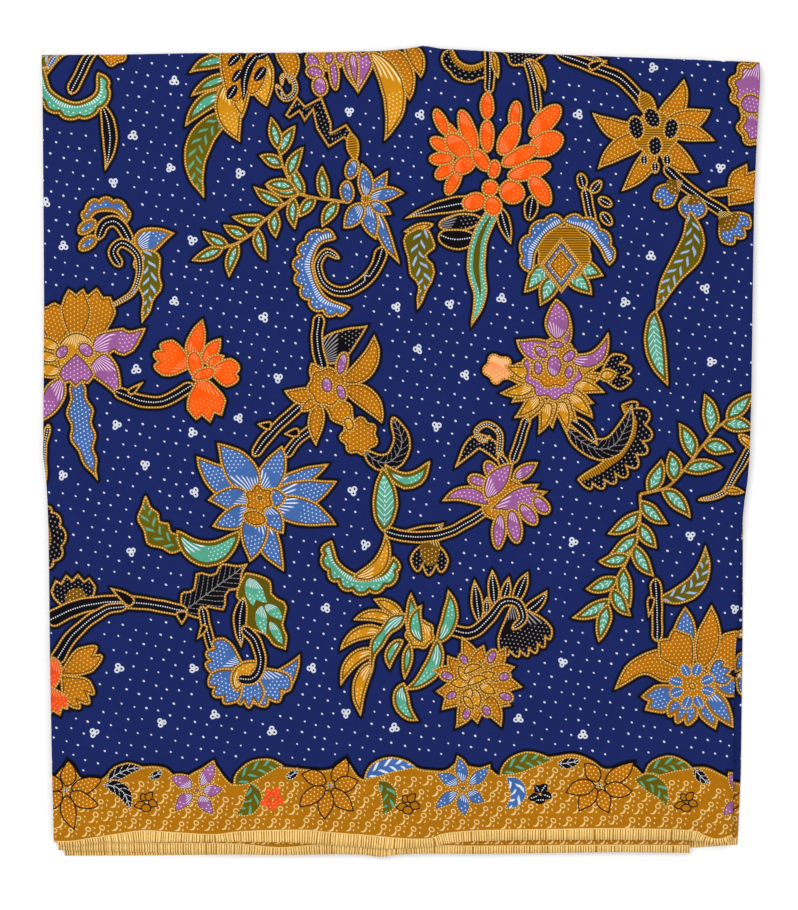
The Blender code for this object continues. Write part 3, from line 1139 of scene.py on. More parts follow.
def left_arch(b: Brush) -> None:
    """Arched motif with a blue wing, a hook and a wavy leaf.

    Args:
        b: The brush.
    """
    b.frill([(127, 223), (118, 213), (106, 210), (94, 213), (87, 224)], 16, Ply.BLUE_RIM, 5, depth=0.22)
    b.discs(Ply.BLUE_RIM, (87, 227, 23, 14, -38), (88, 243, 23, 14, -35))
    b.stem([(98, 240), (103, 226), (113, 221), (122, 227), (131, 244)], 12)
    b.petal((136, 248), (175, 233), 27, Ply.BLUE_RIM, -0.06, Form.POINTED)
    b.swell([(142, 250), (150, 272), (148, 300), (142, 324)], 25, Ply.OLIVE, Form.BLADE, 2.8, 0.22)
    b.stem(
        [(121, 267), (113, 252), (122, 243), (136, 252), (140, 270), (131, 294), (105, 309)], 12, end_width=5
    )


def edge_bloom(b: Brush) -> None:
    """Purple and gold flower at the left edge, with its blue pendant.

    Args:
        b: The brush.
    """
    b.swell([(76, 374), (80, 410), (85, 446), (98, 481)], 25, Ply.BLUE_DOTS, Form.LEAF, 4.2, 0.18)
    b.stem([(49, 424), (44, 450), (46, 482)], 8, end_width=4)
    b.tulip((64, 352), (46, 302), 34, Ply.SOGA, 2, 0.08)
    b.tulip((88, 352), (97, 288), 44, Ply.SOGA, 3, 0.1)
    b.tulip((76, 352), (76, 285), 32, Ply.SOGA, 2, 0.14)
    b.petals(
        Ply.AMBER, ((64, 372), (30, 368), 17, 0.0), ((60, 360), (28, 352), 15, 0.0),
        ((62, 350), (32, 336), 16, 0.0),
    )
    b.bare.disc((77, 356), 50, 44, Ply.AMBER, 90)
    b.petal((62, 376), (36, 424), 24, Ply.PURPLE, -0.04)
    b.swell([(90, 352), (110, 341), (128, 341), (146, 328)], 27, Ply.PURPLE, Form.LEAF, 2.4, 0.16)
    b.petal((94, 358), (120, 398), 28, Ply.PURPLE, -0.06, Form.BLADE)
    b.tulip((76, 350), (76, 388), 38, Ply.PURPLE_DOTS, 3, 0.12)
    b.discs(Ply.PURPLE, (86, 350, 21, 17, 40), (62, 352, 19, 15, -45))


def orange_bell(b: Brush) -> None:
    """Orange flower on a black stem.

    Args:
        b: The brush.
    """
    b.stem([(114, 390), (138, 400), (164, 401), (194, 384)], 13)
    b.thorns([((128, 394), (144, 382))])
    b.tulip((196, 366), (153, 354), 38, Ply.ORANGE, 3, 0.12, True)
    b.petals(
        Ply.ORANGE, ((190, 362), (203, 319), 20, 0.0), ((202, 364), (221, 338), 17, 0.0),
        ((206, 366), (225, 355), 14, 0.0),
    )
    b.tulip((206, 370), (241, 374), 30, Ply.ORANGE, 2, 0.12, True)
    b.tulip((200, 372), (210, 423), 40, Ply.ORANGE, 3, 0.14)
    b.bare.discs(Ply.ORANGE, (195, 364, 28, 17, 80), (204, 374, 26, 15, -20))


def gold_star(b: Brush) -> None:
    """Gold flower with purple eyes, a round bud and crossed stems below.

    Args:
        b: The brush.
    """
    b.stem([(253, 456), (272, 432), (304, 402)], 12)
    b.stem([(284, 458), (298, 440), (318, 424)], 11)
    b.thorns([((272, 426), (257, 424)), ((300, 432), (284, 434))], 10)
    b.petals(
        Ply.SOGA, ((342, 388), (382, 424), 22, -0.16), ((320, 402), (316, 446), 17, 0.05),
        ((320, 394), (284, 391), 18, -0.1), ((322, 384), (311, 362), 16, 0.0),
        ((340, 382), (374, 335), 22, 0.2), ((318, 398), (300, 412), 14, 0.0),
    )
    b.swell([(324, 388), (336, 406), (352, 426)], 24, Ply.SOGA, Form.OVAL, 2.2, 0.12)
    b.cloud((327, 387), 20, 7, Ply.SOGA, 0.1)
    b.discs(Ply.PURPLE, (327, 385, 20, 15, 80), (341, 392, 20, 13, 70), (342, 364, 26, 14, 104))
    b.cloud((359, 436), 19, 7, Ply.SOGA, 0.16)
    b.bare.petal((346, 416), (352, 432), 13, Ply.AMBER, form=Form.OVAL)


def blue_bloom(b: Brush) -> None:
    """The big blue flower with a gold heart, and its teal side leaves.

    Args:
        b: The brush.
    """
    b.petal((186, 547), (146, 495), 26, Ply.OLIVE_TEAL, -0.22, Form.LEAF, 3.4, 0.2)
    b.petal((176, 530), (240, 530), 26, Ply.TEAL_RIM, 0.38, Form.CRESCENT)
    b.petals(
        Ply.BLUE, ((262, 498), (329, 464), 22, 0.0), ((264, 500), (337, 481), 31, 0.06),
        ((257, 496), (282, 445), 28, 0.06), ((254, 500), (196, 456), 30, -0.06),
        ((256, 498), (217, 443), 33, 0.05), ((254, 502), (208, 500), 26, 0.05),
        ((254, 506), (212, 526), 25, -0.05), ((264, 506), (337, 525), 29, -0.06),
        ((260, 508), (284, 571), 25, 0.06), ((254, 508), (250, 562), 29, -0.04),
        ((262, 500), (288, 496), 23, 0.0), ((262, 504), (284, 534), 22, 0.0),
    )
    b.cloud((259, 499), 15, 6, Ply.SOGA, 0.2)
    b.disc((255, 518), 26, 17, Ply.SOGA, 15)
    b.bare.disc((260, 498), 10, 9, Ply.SOGA)


def middle_leaves(b: Brush) -> None:
    """Black curl, upright leaf, teal crescents and the long black stem.

    Args:
        b: The brush.
    """
    b.tulip((430, 536), (429, 576), 40, Ply.INK, 3, 0.2, True)
    b.bare.petal((430, 530), (430, 566), 20, Ply.RAYS, form=Form.OVAL)
    b.petal((402, 533), (444, 523), 17, Ply.STEM, 0.14)
    b.stem([(384, 531), (412, 537), (446, 533), (478, 516), (502, 500)], 13, end_width=10)
    b.swell([(364, 450), (378, 462), (394, 460), (402, 440), (392, 417)], 20, Ply.INK_LEAF, Form.OVAL)
    b.petal((383, 532), (382, 466), 26, Ply.LEAF, 0.04)
    b.petal((384, 464), (430, 461), 17, Ply.TEAL_RIM, 0.4, Form.CRESCENT)
    b.frill([(331, 540), (337, 562), (358, 577), (382, 574), (394, 556)], 21, Ply.TEAL_FRILL, 8, depth=0.2)
    b.petal((352, 578), (385, 533), 17, Ply.AMBER, 0.26)


def violet_bloom(b: Brush) -> None:
    """Purple flower of ovals, with a black curl leaf above.

    Args:
        b: The brush.
    """
    b.stem([(528, 416), (520, 440), (512, 464)], 11)
    b.swell([(505, 466), (494, 450), (476, 442), (455, 468)], 17, Ply.INK)
    b.stem([(498, 456), (500, 434), (487, 424), (476, 432), (483, 441), (490, 435)], 8, end_width=5)
    b.disc((503, 462), 18, 11, Ply.STEM, 60)
    b.cloud((504, 500), 24, 6, Ply.SOGA, 0.1)
    b.petal((512, 480), (538, 462), 15, Ply.PURPLE)
    b.petal((490, 506), (442, 501), 18, Ply.PURPLE_DOTS, 0.2)
    b.discs(Ply.PURPLE_DOTS, (478, 481, 22, 15, 20), (491, 470, 21, 15, 60))
    b.petal((486, 500), (514, 462), 24, Ply.PURPLE, -0.06)
    b.tulip((486, 510), (548, 491), 28, Ply.PURPLE, 3, 0.16)
    b.discs(
        Ply.PURPLE, (499, 531, 38, 16, 94), (514, 526, 36, 18, 80), (528, 514, 28, 16, 52),
        (541, 505, 24, 16, 50),
    )


def crown_bloom(b: Brush) -> None:
    """Crowned purple flower over a fan of gold petals, with a bud to each side.

    Args:
        b: The brush.
    """
    b.stem([(512, 368), (526, 366), (542, 372)], 8)
    b.cloud((498, 369), 15, 5, Ply.PEACH, 0.2)
    b.petal((576, 380), (604, 374), 12, Ply.AMBER)
    b.tulip((598, 376), (632, 368), 38, Ply.INK, 3, 0.22, True)
    b.bare.petal((598, 377), (618, 373), 15, Ply.AMBER)
    b.bloom((553, 382), 55, 15, 16, Ply.AMBER, -20, 220, Form.POINTED, 0.35, (1.0, 0.88, 0.97, 0.85))
    b.cloud((553, 370), 31, 10, Ply.PURPLE_DOTS, 0.12)
    b.cloud((553, 364), 25, 8, Ply.SOGA, 0.12)
    b.petals(
        Ply.PURPLE, ((564, 356), (608, 332), 17, 0.34), ((562, 350), (571, 318), 20, -0.1),
        ((560, 352), (516, 340), 26, -0.1), ((556, 342), (556, 298), 27, 0.04),
    )
    b.bare.discs(
        Ply.PURPLE, (541, 352, 20, 15, 40), (556, 345, 20, 12, 0), (569, 356, 20, 15, -40),
        (554, 366, 26, 19, -90), (538, 368, 18, 13, 80), (569, 372, 18, 13, 100),
    )


def diamond_bloom(b: Brush) -> None:
    """Blue and gold flower round a diamond, with black buds on top.

    Args:
        b: The brush.
    """
    b.stem([(594, 234), (590, 212), (585, 188)], 11)
    b.discs(
        Ply.STEM, (582, 181, 17, 11, 76), (596, 187, 17, 11, -52), (605, 202, 17, 11, 30),
        (606, 219, 17, 11, 50),
    )
    b.petals(
        Ply.LEAF, ((550, 262), (524, 293), 20, 0.0), ((556, 272), (540, 306), 19, 0.0),
        ((568, 262), (604, 276), 20, 0.0), ((566, 268), (592, 295), 20, 0.0),
    )
    b.cloud((564, 252), 28, 8, Ply.BARRED, 0.1)
    b.frill([(566, 222), (548, 232), (535, 250), (532, 274)], 20, Ply.BLUE_FRILL, 4, depth=0.24)
    b.frill([(609, 266), (598, 244), (584, 230), (562, 222)], 18, Ply.BLUE_FRILL, 4, depth=0.24)
    reach = np.array([(0.0, -0.78), (0.6, 0.0), (0.0, 0.78), (-0.6, 0.0)])
    for size, ply in ((37, Ply.SPRIG), (33, Ply.BLUE_DOTS), (22, Ply.SOGA)):
        rim = reach * size + (561, 265)
        b.bare.lay(rim, rim[[0, 2]], ply)


def coral_spray(b: Brush) -> None:
    """The big orange flower: a spray of ovals.

    Args:
        b: The brush.
    """
    lengths = (1.12, 0.98, 1.0, 1.08, 1.1, 1.0)
    b.bloom((466, 158), 38, 6, 15, Ply.ORANGE, 118, 150, Form.OVAL, 0.3, lengths, 0.0)
    b.discs(
        Ply.ORANGE, (441, 122, 30, 14, 66), (468, 131, 46, 17, 70), (487, 106, 28, 15, 90),
        (487, 136, 34, 16, 90), (515, 116, 32, 14, 95), (509, 139, 38, 21, -62), (545, 121, 44, 22, -46),
        (546, 144, 38, 26, -24), (520, 156, 42, 18, -26), (529, 171, 46, 19, -16), (540, 190, 36, 20, 58),
        (512, 192, 28, 25, 30), (458, 146, 34, 22, 44), (464, 165, 26, 20, -30), (481, 160, 28, 16, 55),
        (494, 169, 20, 14, 100), (490, 188, 18, 18, 60), (474, 202, 26, 20, -20), (493, 206, 22, 20, 70),
    )


def ribbon_leaves(b: Brush) -> None:
    """Stems, buds and long leaves under the orange flower.

    Args:
        b: The brush.
    """
    b.petal((476, 202), (404, 219), 17, Ply.STEM, 0.04, Form.BLADE)
    b.petal((438, 226), (482, 219), 18, Ply.INK_FAN, 0.0, Form.OVAL)
    b.petal((438, 234), (476, 236), 22, Ply.STEM, 0.12, Form.OVAL)
    b.petal((434, 224), (403, 232), 10, Ply.AMBER)
    b.swell([(424, 228), (417, 255), (424, 280), (417, 310)], 27, Ply.OLIVE, Form.BLADE, 2.6, 0.26)
    b.petal((499, 205), (511, 245), 14, Ply.STEM)
    b.disc((531, 208), 26, 15, Ply.STEM, 100)
    path = smooth_path([(493, 211), (480, 238), (476, 268), (480, 296), (471, 328)], 5.0)
    t = np.linspace(0, 1, len(path))
    half = 9.5 * (1 - t**5) * (0.75 + 0.25 * np.sin(math.pi * t))
    b.blade(path, half, half, Ply.RIBBON)


def top_stems(b: Brush) -> None:
    """Black flower and stems that come down from the top edge.

    Args:
        b: The brush.
    """
    b.frill([(450, 46), (458, 62), (474, 67), (492, 58)], 19, Ply.INK, 3, Ply.BARS)
    b.stem([(489, 44), (490, 70), (489, 94)], 11)
    b.petal((492, 50), (498, 79), 9, Ply.AMBER)
    b.cloud((524, 46), 22, 7, Ply.INK, 0.12)
    b.stem([(526, 58), (534, 84), (538, 114)], 10)
    b.petal((528, 58), (545, 92), 10, Ply.AMBER, -0.1)
    b.petal((546, 46), (608, 63), 15, Ply.INK_LEAF)


def sun_flower(b: Brush) -> None:
    """Gold star flower with dark seeds at the top right, its stems and hearts.

    Args:
        b: The brush.
    """
    b.stem([(556, 52), (590, 66), (622, 80), (652, 114)], 13)
    b.thorns([((588, 68), (608, 60))], 9)
    b.tulip((728, 206), (760, 168), 38, Ply.SOGA, 3, 0.2)
    b.stem([(664, 166), (690, 190), (730, 216)], 12)
    b.petal((706, 194), (750, 188), 9, Ply.AMBER)
    b.petals(
        Ply.SOGA, ((655, 132), (592, 113), 23, -0.14), ((654, 136), (598, 169), 23, 0.1),
        ((656, 140), (621, 191), 20, -0.08), ((652, 130), (684, 79), 24, 0.12),
        ((660, 126), (711, 110), 26, 0.06), ((660, 138), (699, 172), 24, 0.08),
        ((660, 132), (715, 141), 19, -0.08),
    )
    b.petal((640, 92), (656, 120), 17, Ply.BARRED)
    b.cloud((655, 134), 23, 8, Ply.BARRED, 0.08)
    b.discs(
        Ply.INK, (636, 128, 26, 18, 80), (652, 118, 24, 18, 60), (671, 129, 24, 17, 100),
        (655, 146, 22, 16, 90),
    )
    b.discs(Ply.STEM, (644, 160, 14, 10, 90), (655, 167, 14, 10, 90), (667, 160, 14, 10, 90))
    b.tulip((680, 182), (656, 205), 26, Ply.BLUE_DOTS, 2, 0.14, True)
    b.bare.tulip((682, 180), (667, 192), 17, Ply.RAYS, 2, 0.1)
    b.disc((693, 208), 30, 25, Ply.BLUE_DOTS, 10)
    b.bare.disc((692, 200), 20, 10, Ply.RAYS)
    b.tulip((720, 212), (745, 238), 40, Ply.BLUE_DOTS, 3, 0.14, True)
    b.bare.tulip((719, 211), (736, 228), 24, Ply.RAYS, 3, 0.1)


def chained_leaves(b: Brush) -> None:
    """Long olive leaf that ends in a smaller teal one.

    Args:
        b: The brush.
    """
    b.swell([(690, 210), (692, 246), (670, 280), (655, 314)], 25, Ply.OLIVE, Form.LEAF, 1.4, 0.12)
    b.petal((655, 310), (668, 386), 22, Ply.LEAF, 0.08)


def top_right_edge(b: Brush) -> None:
    """Purple flower that the right edge cuts.

    Args:
        b: The brush.
    """
    for centre, radius, lobes in (((758, 126), 21, 7), ((760, 88), 31, 10)):
        b.cloud(centre, radius, lobes, Ply.SOGA, 0.14)
        b.bare.cloud(centre, radius - 4.5, lobes, Ply.PURPLE, 0.14)
    b.bare.disc((752, 104), 26, 23, Ply.PURPLE_DOTS, 10)


def black_frill(b: Brush) -> None:
    """Big black crescent with a toothed edge.

    Args:
        b: The brush.
    """
    b.frill([(577, 480), (602, 465), (622, 447), (631, 424), (621, 404)], 29, Ply.INK, 9, Ply.BARS, 0.3)
    b.petal((562, 424), (632, 404), 23, Ply.INK_LEAF, 0.5, Form.CRESCENT)
    b.petal((566, 418), (598, 446), 15, Ply.STEM, -0.1)


def right_fern(b: Brush) -> None:
    """Long leafy spray down the right side.

    Args:
        b: The brush.
    """
    b.stem([(752, 446), (738, 470), (722, 494), (698, 500)], 11, end_width=5)
    b.petal((722, 490), (746, 492), 9, Ply.AMBER)
    b.petal((738, 434), (762, 452), 12, Ply.AMBER)
    b.fern([(640, 494), (668, 486), (690, 462), (712, 434), (726, 420)], 4, 40, 17, splay=56)
    b.fern([(640, 494), (640, 520), (632, 550), (614, 584), (608, 604)], 5, 40, 16, splay=46)


def lower_left_stems(b: Brush) -> None:
    """Thick black stems from the left edge, with their black leaves.

    Args:
        b: The brush.
    """
    b.tulip((76, 618), (72, 573), 46, Ply.INK, 4, 0.14)
    b.bare.petal((77, 612), (75, 588), 22, Ply.RAYS, form=Form.OVAL)
    b.petal((180, 614), (248, 563), 36, Ply.INK_LEAF, 0.0, Form.LEAF, 3.2, 0.3)
    b.stem([(46, 622), (82, 606), (130, 602), (188, 611)], 18, end_width=12)
    b.thorns([((134, 604), (110, 587)), ((182, 610), (182, 625))], 12)
    b.stem([(54, 664), (74, 634), (104, 611), (128, 606)], 16, end_width=9)
    b.stem([(202, 606), (207, 630), (214, 654)], 11)
    b.thorns([((206, 624), (197, 640))])
    b.frill([(36, 568), (46, 538), (34, 506)], 24, Ply.INK, 5, Ply.BARS)


def lower_left_flowers(b: Brush) -> None:
    """Gold and red flower at the left edge.

    Args:
        b: The brush.
    """
    b.tulip((58, 676), (102, 650), 28, Ply.SOGA, 2, 0.16, True)
    b.tulip((60, 674), (90, 704), 34, Ply.SOGA, 3, 0.16, True)
    b.petal((54, 656), (52, 692), 20, Ply.RED)
    b.tulip((48, 684), (60, 716), 30, Ply.RED, 3, 0.16)


def blue_fan(b: Brush) -> None:
    """Blue scalloped fan with a black hook, and the lobed green leaf.

    Args:
        b: The brush.
    """
    b.petal((246, 572), (286, 650), 40, Ply.MOSS, 0.02, Form.LEAF, 2.6, 0.24)
    b.petals(
        Ply.TEAL_BARE, ((250, 578), (253, 606), 13, 0.0), ((253, 579), (267, 603), 12, 0.1),
        ((262, 606), (266, 634), 12, 0.1), ((265, 606), (281, 620), 11, -0.1),
        ((270, 622), (283, 644), 9, 0.0),
    )
    b.petal((244, 596), (241, 648), 15, Ply.STEM, 0.05)
    b.petal((266, 690), (300, 654), 26, Ply.BLUE_DOTS, 0.1, Form.BLADE)
    b.tulip((256, 666), (280, 702), 48, Ply.BLUE, 3, 0.14, True)
    b.tulip((250, 664), (249, 709), 32, Ply.BLUE, 3, 0.12, True)
    b.tulip((244, 664), (205, 652), 40, Ply.BLUE, 3, 0.12, True)
    b.tulip((246, 668), (213, 697), 40, Ply.BLUE, 3, 0.12, True)
    b.bare.petal((236, 692), (262, 662), 20, Ply.AMBER, -0.2)
    b.stem([(242, 626), (256, 642), (261, 664), (252, 679), (236, 678)], 12)


def black_frond(b: Brush) -> None:
    """Black curl with gold-edged spikes, and the black frill to its right.

    Args:
        b: The brush.
    """
    b.petals(
        Ply.STEM, ((480, 624), (474, 579), 13, 0.0), ((486, 616), (487, 596), 9, 0.0),
        ((495, 608), (492, 569), 13, 0.0), ((503, 604), (509, 576), 11, 0.0),
        ((514, 604), (528, 571), 14, 0.0), ((520, 614), (547, 590), 14, 0.1),
    )
    b.tulip((512, 602), (532, 656), 58, Ply.INK_FAN, 6, 0.1, True)
    b.stem(
        [(446, 628), (470, 633), (488, 620), (502, 603), (517, 603), (523, 618), (512, 630)], 14, end_width=9
    )


def teal_frond(b: Brush) -> None:
    """Spiky gold and teal frond.

    Args:
        b: The brush.
    """
    b.cloud((420, 634), 15, 7, Ply.AMBER, 0.1)
    b.petals(
        Ply.AMBER, ((402, 620), (373, 599), 14, 0.1), ((396, 624), (353, 620), 14, 0.16),
        ((388, 634), (340, 651), 15, 0.2), ((380, 650), (341, 686), 15, 0.2),
        ((374, 660), (361, 716), 16, 0.14),
    )
    b.petals(
        Ply.TEAL, ((413, 642), (411, 592), 15, 0.0), ((404, 640), (390, 669), 13, 0.2),
        ((410, 642), (404, 680), 12, 0.0), ((424, 644), (422, 604), 17, -0.2),
        ((436, 644), (448, 589), 18, 0.14), ((437, 638), (403, 690), 19, -0.2),
        ((404, 682), (419, 721), 18, 0.24),
    )
    b.swell([(406, 614), (388, 628), (374, 650), (370, 678)], 15, Ply.TEAL, Form.POINTED, 2.6, 0.16)


def thistle(b: Brush) -> None:
    """Gold and purple flower of many points.

    Args:
        b: The brush.
    """
    b.bloom(
        (476, 684), 48, 13, 20, Ply.SOGA, 4, 360, Form.POINTED, 0.3,
        (0.98, 0.86, 1.04, 0.84, 1.02, 0.9, 0.86),
    )
    b.bare.bloom((477, 684), 40, 8, 13, Ply.PURPLE, -60, 300, Form.OVAL, 0.55, (1.0, 0.9))
    b.bare.bloom((474, 684), 27, 7, 15, Ply.AMBER, 25, 360, Form.LEAF, 0.1)
    b.petals(
        Ply.AMBER, ((462, 676), (486, 668), 12, -0.2), ((466, 688), (492, 680), 13, -0.2),
        ((462, 694), (476, 712), 12, 0.0),
    )


def golden_bloom(b: Brush) -> None:
    """Big gold and blue flower at the right, with its black leaf and stem.

    Args:
        b: The brush.
    """
    b.petal((658, 599), (705, 545), 20, Ply.OLIVE, 0.26)
    b.stem([(655, 578), (657, 606), (657, 642)], 12)
    b.thorns([((652, 596), (648, 618))], 9)
    b.tulip((690, 690), (640, 704), 30, Ply.BLUE_RIM, 2, 0.16)
    b.tulip((692, 690), (676, 724), 34, Ply.BLUE_RIM, 3, 0.16, True)
    b.petals(
        Ply.BLUE_RIM, ((700, 690), (716, 730), 23, 0.0), ((704, 686), (734, 728), 22, 0.0),
        ((712, 680), (748, 694), 22, 0.0),
    )
    b.swell([(688, 674), (660, 664), (636, 668), (614, 690)], 30, Ply.SOGA, Form.POINTED, 1.6, 0.14)
    b.petal((682, 654), (685, 606), 24, Ply.BLUE_DOTS, 0.03)
    b.tulip((694, 672), (664, 632), 40, Ply.SOGA, 2, 0.14)
    b.tulip((706, 670), (752, 638), 40, Ply.SOGA, 3, 0.14)
    b.petal((700, 670), (712, 605), 26, Ply.SOGA, 0.04)
    b.petal((744, 628), (742, 676), 18, Ply.BLUE_DOTS)
    b.tulip((704, 680), (732, 668), 30, Ply.BLUE_DOTS, 3, 0.14, True)
    b.cloud((692, 686), 23, 8, Ply.SOGA, 0.1)
    b.bloom((692, 686), 25, 8, 13, Ply.BLUE_EYE, 20, 360, Form.OVAL, 0.34)
    b.bare.disc((692, 686), 12, 11, Ply.AMBER)


class FlowerField:
    """The main field of the print: big flowers, leaves and stems on navy."""

    def draw(self) -> Brush:
        """Draws every motif of the field, lowest first.

        Returns:
            The brush, with their patches.
        """
        brush = Brush()
        for motif in (
            top_left_curl, crest_flower, top_purple, left_fern, blue_star, spiral_frill, left_arch,
            edge_bloom, orange_bell, gold_star, blue_bloom, middle_leaves, violet_bloom, black_frill,
            crown_bloom, diamond_bloom, ribbon_leaves, coral_spray, top_stems, sun_flower, chained_leaves,
            top_right_edge, right_fern, lower_left_stems, lower_left_flowers, blue_fan, black_frond,
            teal_frond, thistle, golden_bloom,
        ):
            motif(brush)
        return brush


@dataclass
class Border:
    """The gold band above the hem, with its flowers, rings, tails and hatch."""

    brush: Brush = field(default_factory=Brush)
    ring_rows: int = 6
    ring_columns: int = 46
    ring_step: Spot = (15.6, 12.4)
    ring_start: Spot = (40.0, 9.5)
    crest_clear: float = 8.0  # between the crest and the nearest rings

    CREST: ClassVar[Line] = (
        (30, 786), (52, 780), (62, 768), (72, 764), (82, 778), (100, 779), (116, 769), (146, 766), (166, 768),
        (180, 778), (198, 770), (213, 764), (224, 776), (234, 784), (248, 768), (270, 765), (296, 768),
        (318, 770), (334, 768), (347, 762), (358, 776), (368, 778), (382, 766), (402, 764), (424, 769),
        (446, 770), (457, 762), (470, 766), (488, 768), (500, 775), (514, 761), (546, 757), (574, 754),
        (592, 760), (606, 769), (632, 765), (644, 775), (658, 766), (684, 768), (704, 767), (722, 774),
        (736, 782), (760, 786),
    )
    FRONT_STRIP: ClassVar[Line] = (
        (50, 841), (70, 841), (90, 838), (120, 833), (145, 830), (175, 832), (215, 834), (240, 831),
        (300, 829.5), (330, 832), (370, 835), (400, 838), (430, 838), (445, 833), (480, 830), (540, 829),
        (620, 828), (690, 830), (702, 834), (712, 838), (722, 838.5), (744, 831),
    )
    END_STRIP: ClassVar[Line] = (
        (50, 843.5), (140, 843.5), (230, 844), (280, 848), (330, 844.5), (380, 848), (440, 846), (470, 846.5),
        (540, 846), (620, 845.5), (700, 846),
    )
    BACK_STRIP: ClassVar[Line] = (
        (50, 849), (140, 849), (300, 847.5), (540, 844), (691, 841), (745, 839.5))
    BELOW: ClassVar[Line] = ((790.0, 890.0), (10.0, 890.0))

    # Flowers, each as its petals' build, their width, its middle and their tips
    FLOWERS: ClassVar[tuple[tuple, ...]] = (
        (Ply.ROSE, 17, (66, 790), (68, 760), (102, 778), (100, 806), (75, 830), (44, 812), (40, 780)),
        (Ply.ROSE_PURPLE, 17, (197, 790), (214, 760), (225, 788), (215, 815), (174, 813), (168, 777)),
        (Ply.ROSE, 17, (330, 785), (347, 757), (359, 780), (354, 811), (325, 820), (299, 808), (301, 774)),
        (Ply.ROSE_BLUE, 16, (463, 788), (457, 755), (490, 764), (487, 802), (466, 818), (434, 811),
         (434, 774)),
        (Ply.ROSE, 17, (600, 785), (634, 761), (633, 791), (609, 813), (579, 812), (565, 793), (584, 763)),
        (Ply.ROSE_PURPLE, 16, (744, 800), (728, 772), (722, 818), (752, 832)),
    )
    # Leaves, each as its base, its tip, its width and how far it bows
    LEAVES: ClassVar[tuple[tuple, ...]] = (
        (Ply.BORDER_INK, ((106, 784), (146, 768), 15, -0.14), ((102, 784), (130, 812), 17, -0.24)),
        (Ply.BORDER_LEAF, ((234, 786), (284, 765), 21, -0.12), ((250, 782), (234, 815), 20, -0.3)),
        (Ply.BORDER_BLUE, ((364, 779), (418, 769), 18, -0.16)),
        (Ply.BORDER_LEAF, ((377, 780), (380, 817), 19, -0.3), ((500, 775), (554, 761), 20, -0.12)),
        (Ply.BORDER_BLUE, ((506, 776), (503, 809), 19, -0.42)),
        (Ply.BORDER_LEAF, ((644, 777), (694, 770), 19, -0.18), ((634, 780), (666, 809), 21, -0.24)),
        (Ply.BORDER_INK, ((148, 777), (162, 767), 11, 0.2), ((556, 763), (582, 758), 13, 0.1),
         ((694, 767), (712, 784), 13, 0.1), ((284, 777), (298, 767), 11, 0.2)),
    )
    KNOTS: ClassVar[tuple[tuple, ...]] = (
        (146, 802, Ply.KNOT), (272, 799, Ply.ROSE_RED), (408, 804, Ply.KNOT), (540, 794, Ply.EYE),
        (686, 802, Ply.KNOT),
    )

    def band(self, crest: Sequence[Spot]) -> None:
        """Lays the gold ground below a line.

        Args:
            crest: The line's points, from left to right.
        """
        top = smooth_path(crest, 4.0)
        rim = np.concatenate([top, self.BELOW])
        edge = anticlockwise(Brush.by_hand(to_plane(rim)))
        self.brush.halos.append(Patch(inset(edge, -2.0), Dye.HALO))
        line = Brush.by_hand(to_plane(top + (0, 1.5)))
        self.brush.patches.append(Patch(edge, Dye.GOLD, Mark.BEADED, Dye.WAX, line))
        self.brush.patches.append(Patch(inset(edge, 2.0), Dye.GILT))

    def strip(self, line: Sequence[Spot]) -> None:
        """Lays the hatched strip below a line, with a pale thread on top.

        Args:
            line: The strip's upper edge.
        """
        top = smooth_path(line, 6.0)
        rim = np.concatenate([top, self.BELOW])
        edge = anticlockwise(to_plane(rim))
        guide = to_plane(top)
        self.brush.patches.append(Patch(edge, Dye.STRAW, Mark.PLAIN, Dye.CREAM, guide))
        self.brush.patches.append(Patch(inset(edge, 0.6), Dye.GOLD, Mark.HATCHED, Dye.STRAW, guide))

    def tadpole(self, at: Spot, size: float) -> None:
        """Draws a pale ring with a tail, and the dashed arc beside it.

        Args:
            at: The ring's middle.
            size: How big it is, against the usual.
        """
        x, y = at
        b = self.brush
        tail = (x - 1.8 * size, y + 2.2 * size), (x - 7.5 * size, y + 7 * size)
        b.bare.petal(*tail, 2.0, Ply.PALE, -0.3)
        b.bare.disc(at, 5.9 * size, 5.2 * size, Ply.PALE_RING, 30)
        for i in range(3):
            turn = math.radians(80 - 50 * i)
            spot = (x + 6.8 * math.cos(turn) * size, y + 0.5 + 6.0 * math.sin(turn) * size)
            b.pin(spot, 2.6, 1.3, 115 - 40 * i, Ply.PALE)

    def rosette(self, centre: Spot, tips: Sequence[Spot], width: float, ply: Ply) -> None:
        """Draws a flower of the border.

        Args:
            centre: Its middle.
            tips: Its petals' tips.
            width: Its petals' width.
            ply: How a petal is built up.
        """
        b = self.brush
        middle = np.asarray(centre, float)
        for tip in tips:
            base = middle + 0.12 * (np.asarray(tip) - middle)
            b.petal(tuple(base), tip, width, ply, 0.06)
        b.bare.disc(centre, 8, 7, Ply.BORDER_INK if ply is Ply.ROSE else ply)

    def knot(self, x: float, y: float, ply: Ply) -> None:
        """Draws a small bud of five petals on an oval."""
        self.brush.bare.bloom((x, y), 13, 5, 9, ply, 20, 360, Form.LEAF, 0.1, (1.0, 0.8), 0.1)
        self.brush.bare.disc((x, y + 6), 11, 9, ply)

    def rings(self) -> None:
        """Draws the front's rings, on staggered rows along its strip, each moved a little at random."""
        rng = np.random.default_rng(5)
        (step_x, step_y), (start_x, start_y) = self.ring_step, self.ring_start
        for row in range(self.ring_rows):
            for column in range(self.ring_columns):
                x = start_x + column * step_x + (row % 2) * step_x / 2 + rng.uniform(-1.6, 1.6)
                strip = float(np.interp(x, *zip(*self.FRONT_STRIP)))
                y = strip - start_y - row * step_y + rng.uniform(-1.2, 1.2)
                if y > float(np.interp(x, *zip(*self.CREST))) + self.crest_clear:
                    self.tadpole((x, y), rng.uniform(0.92, 1.08))

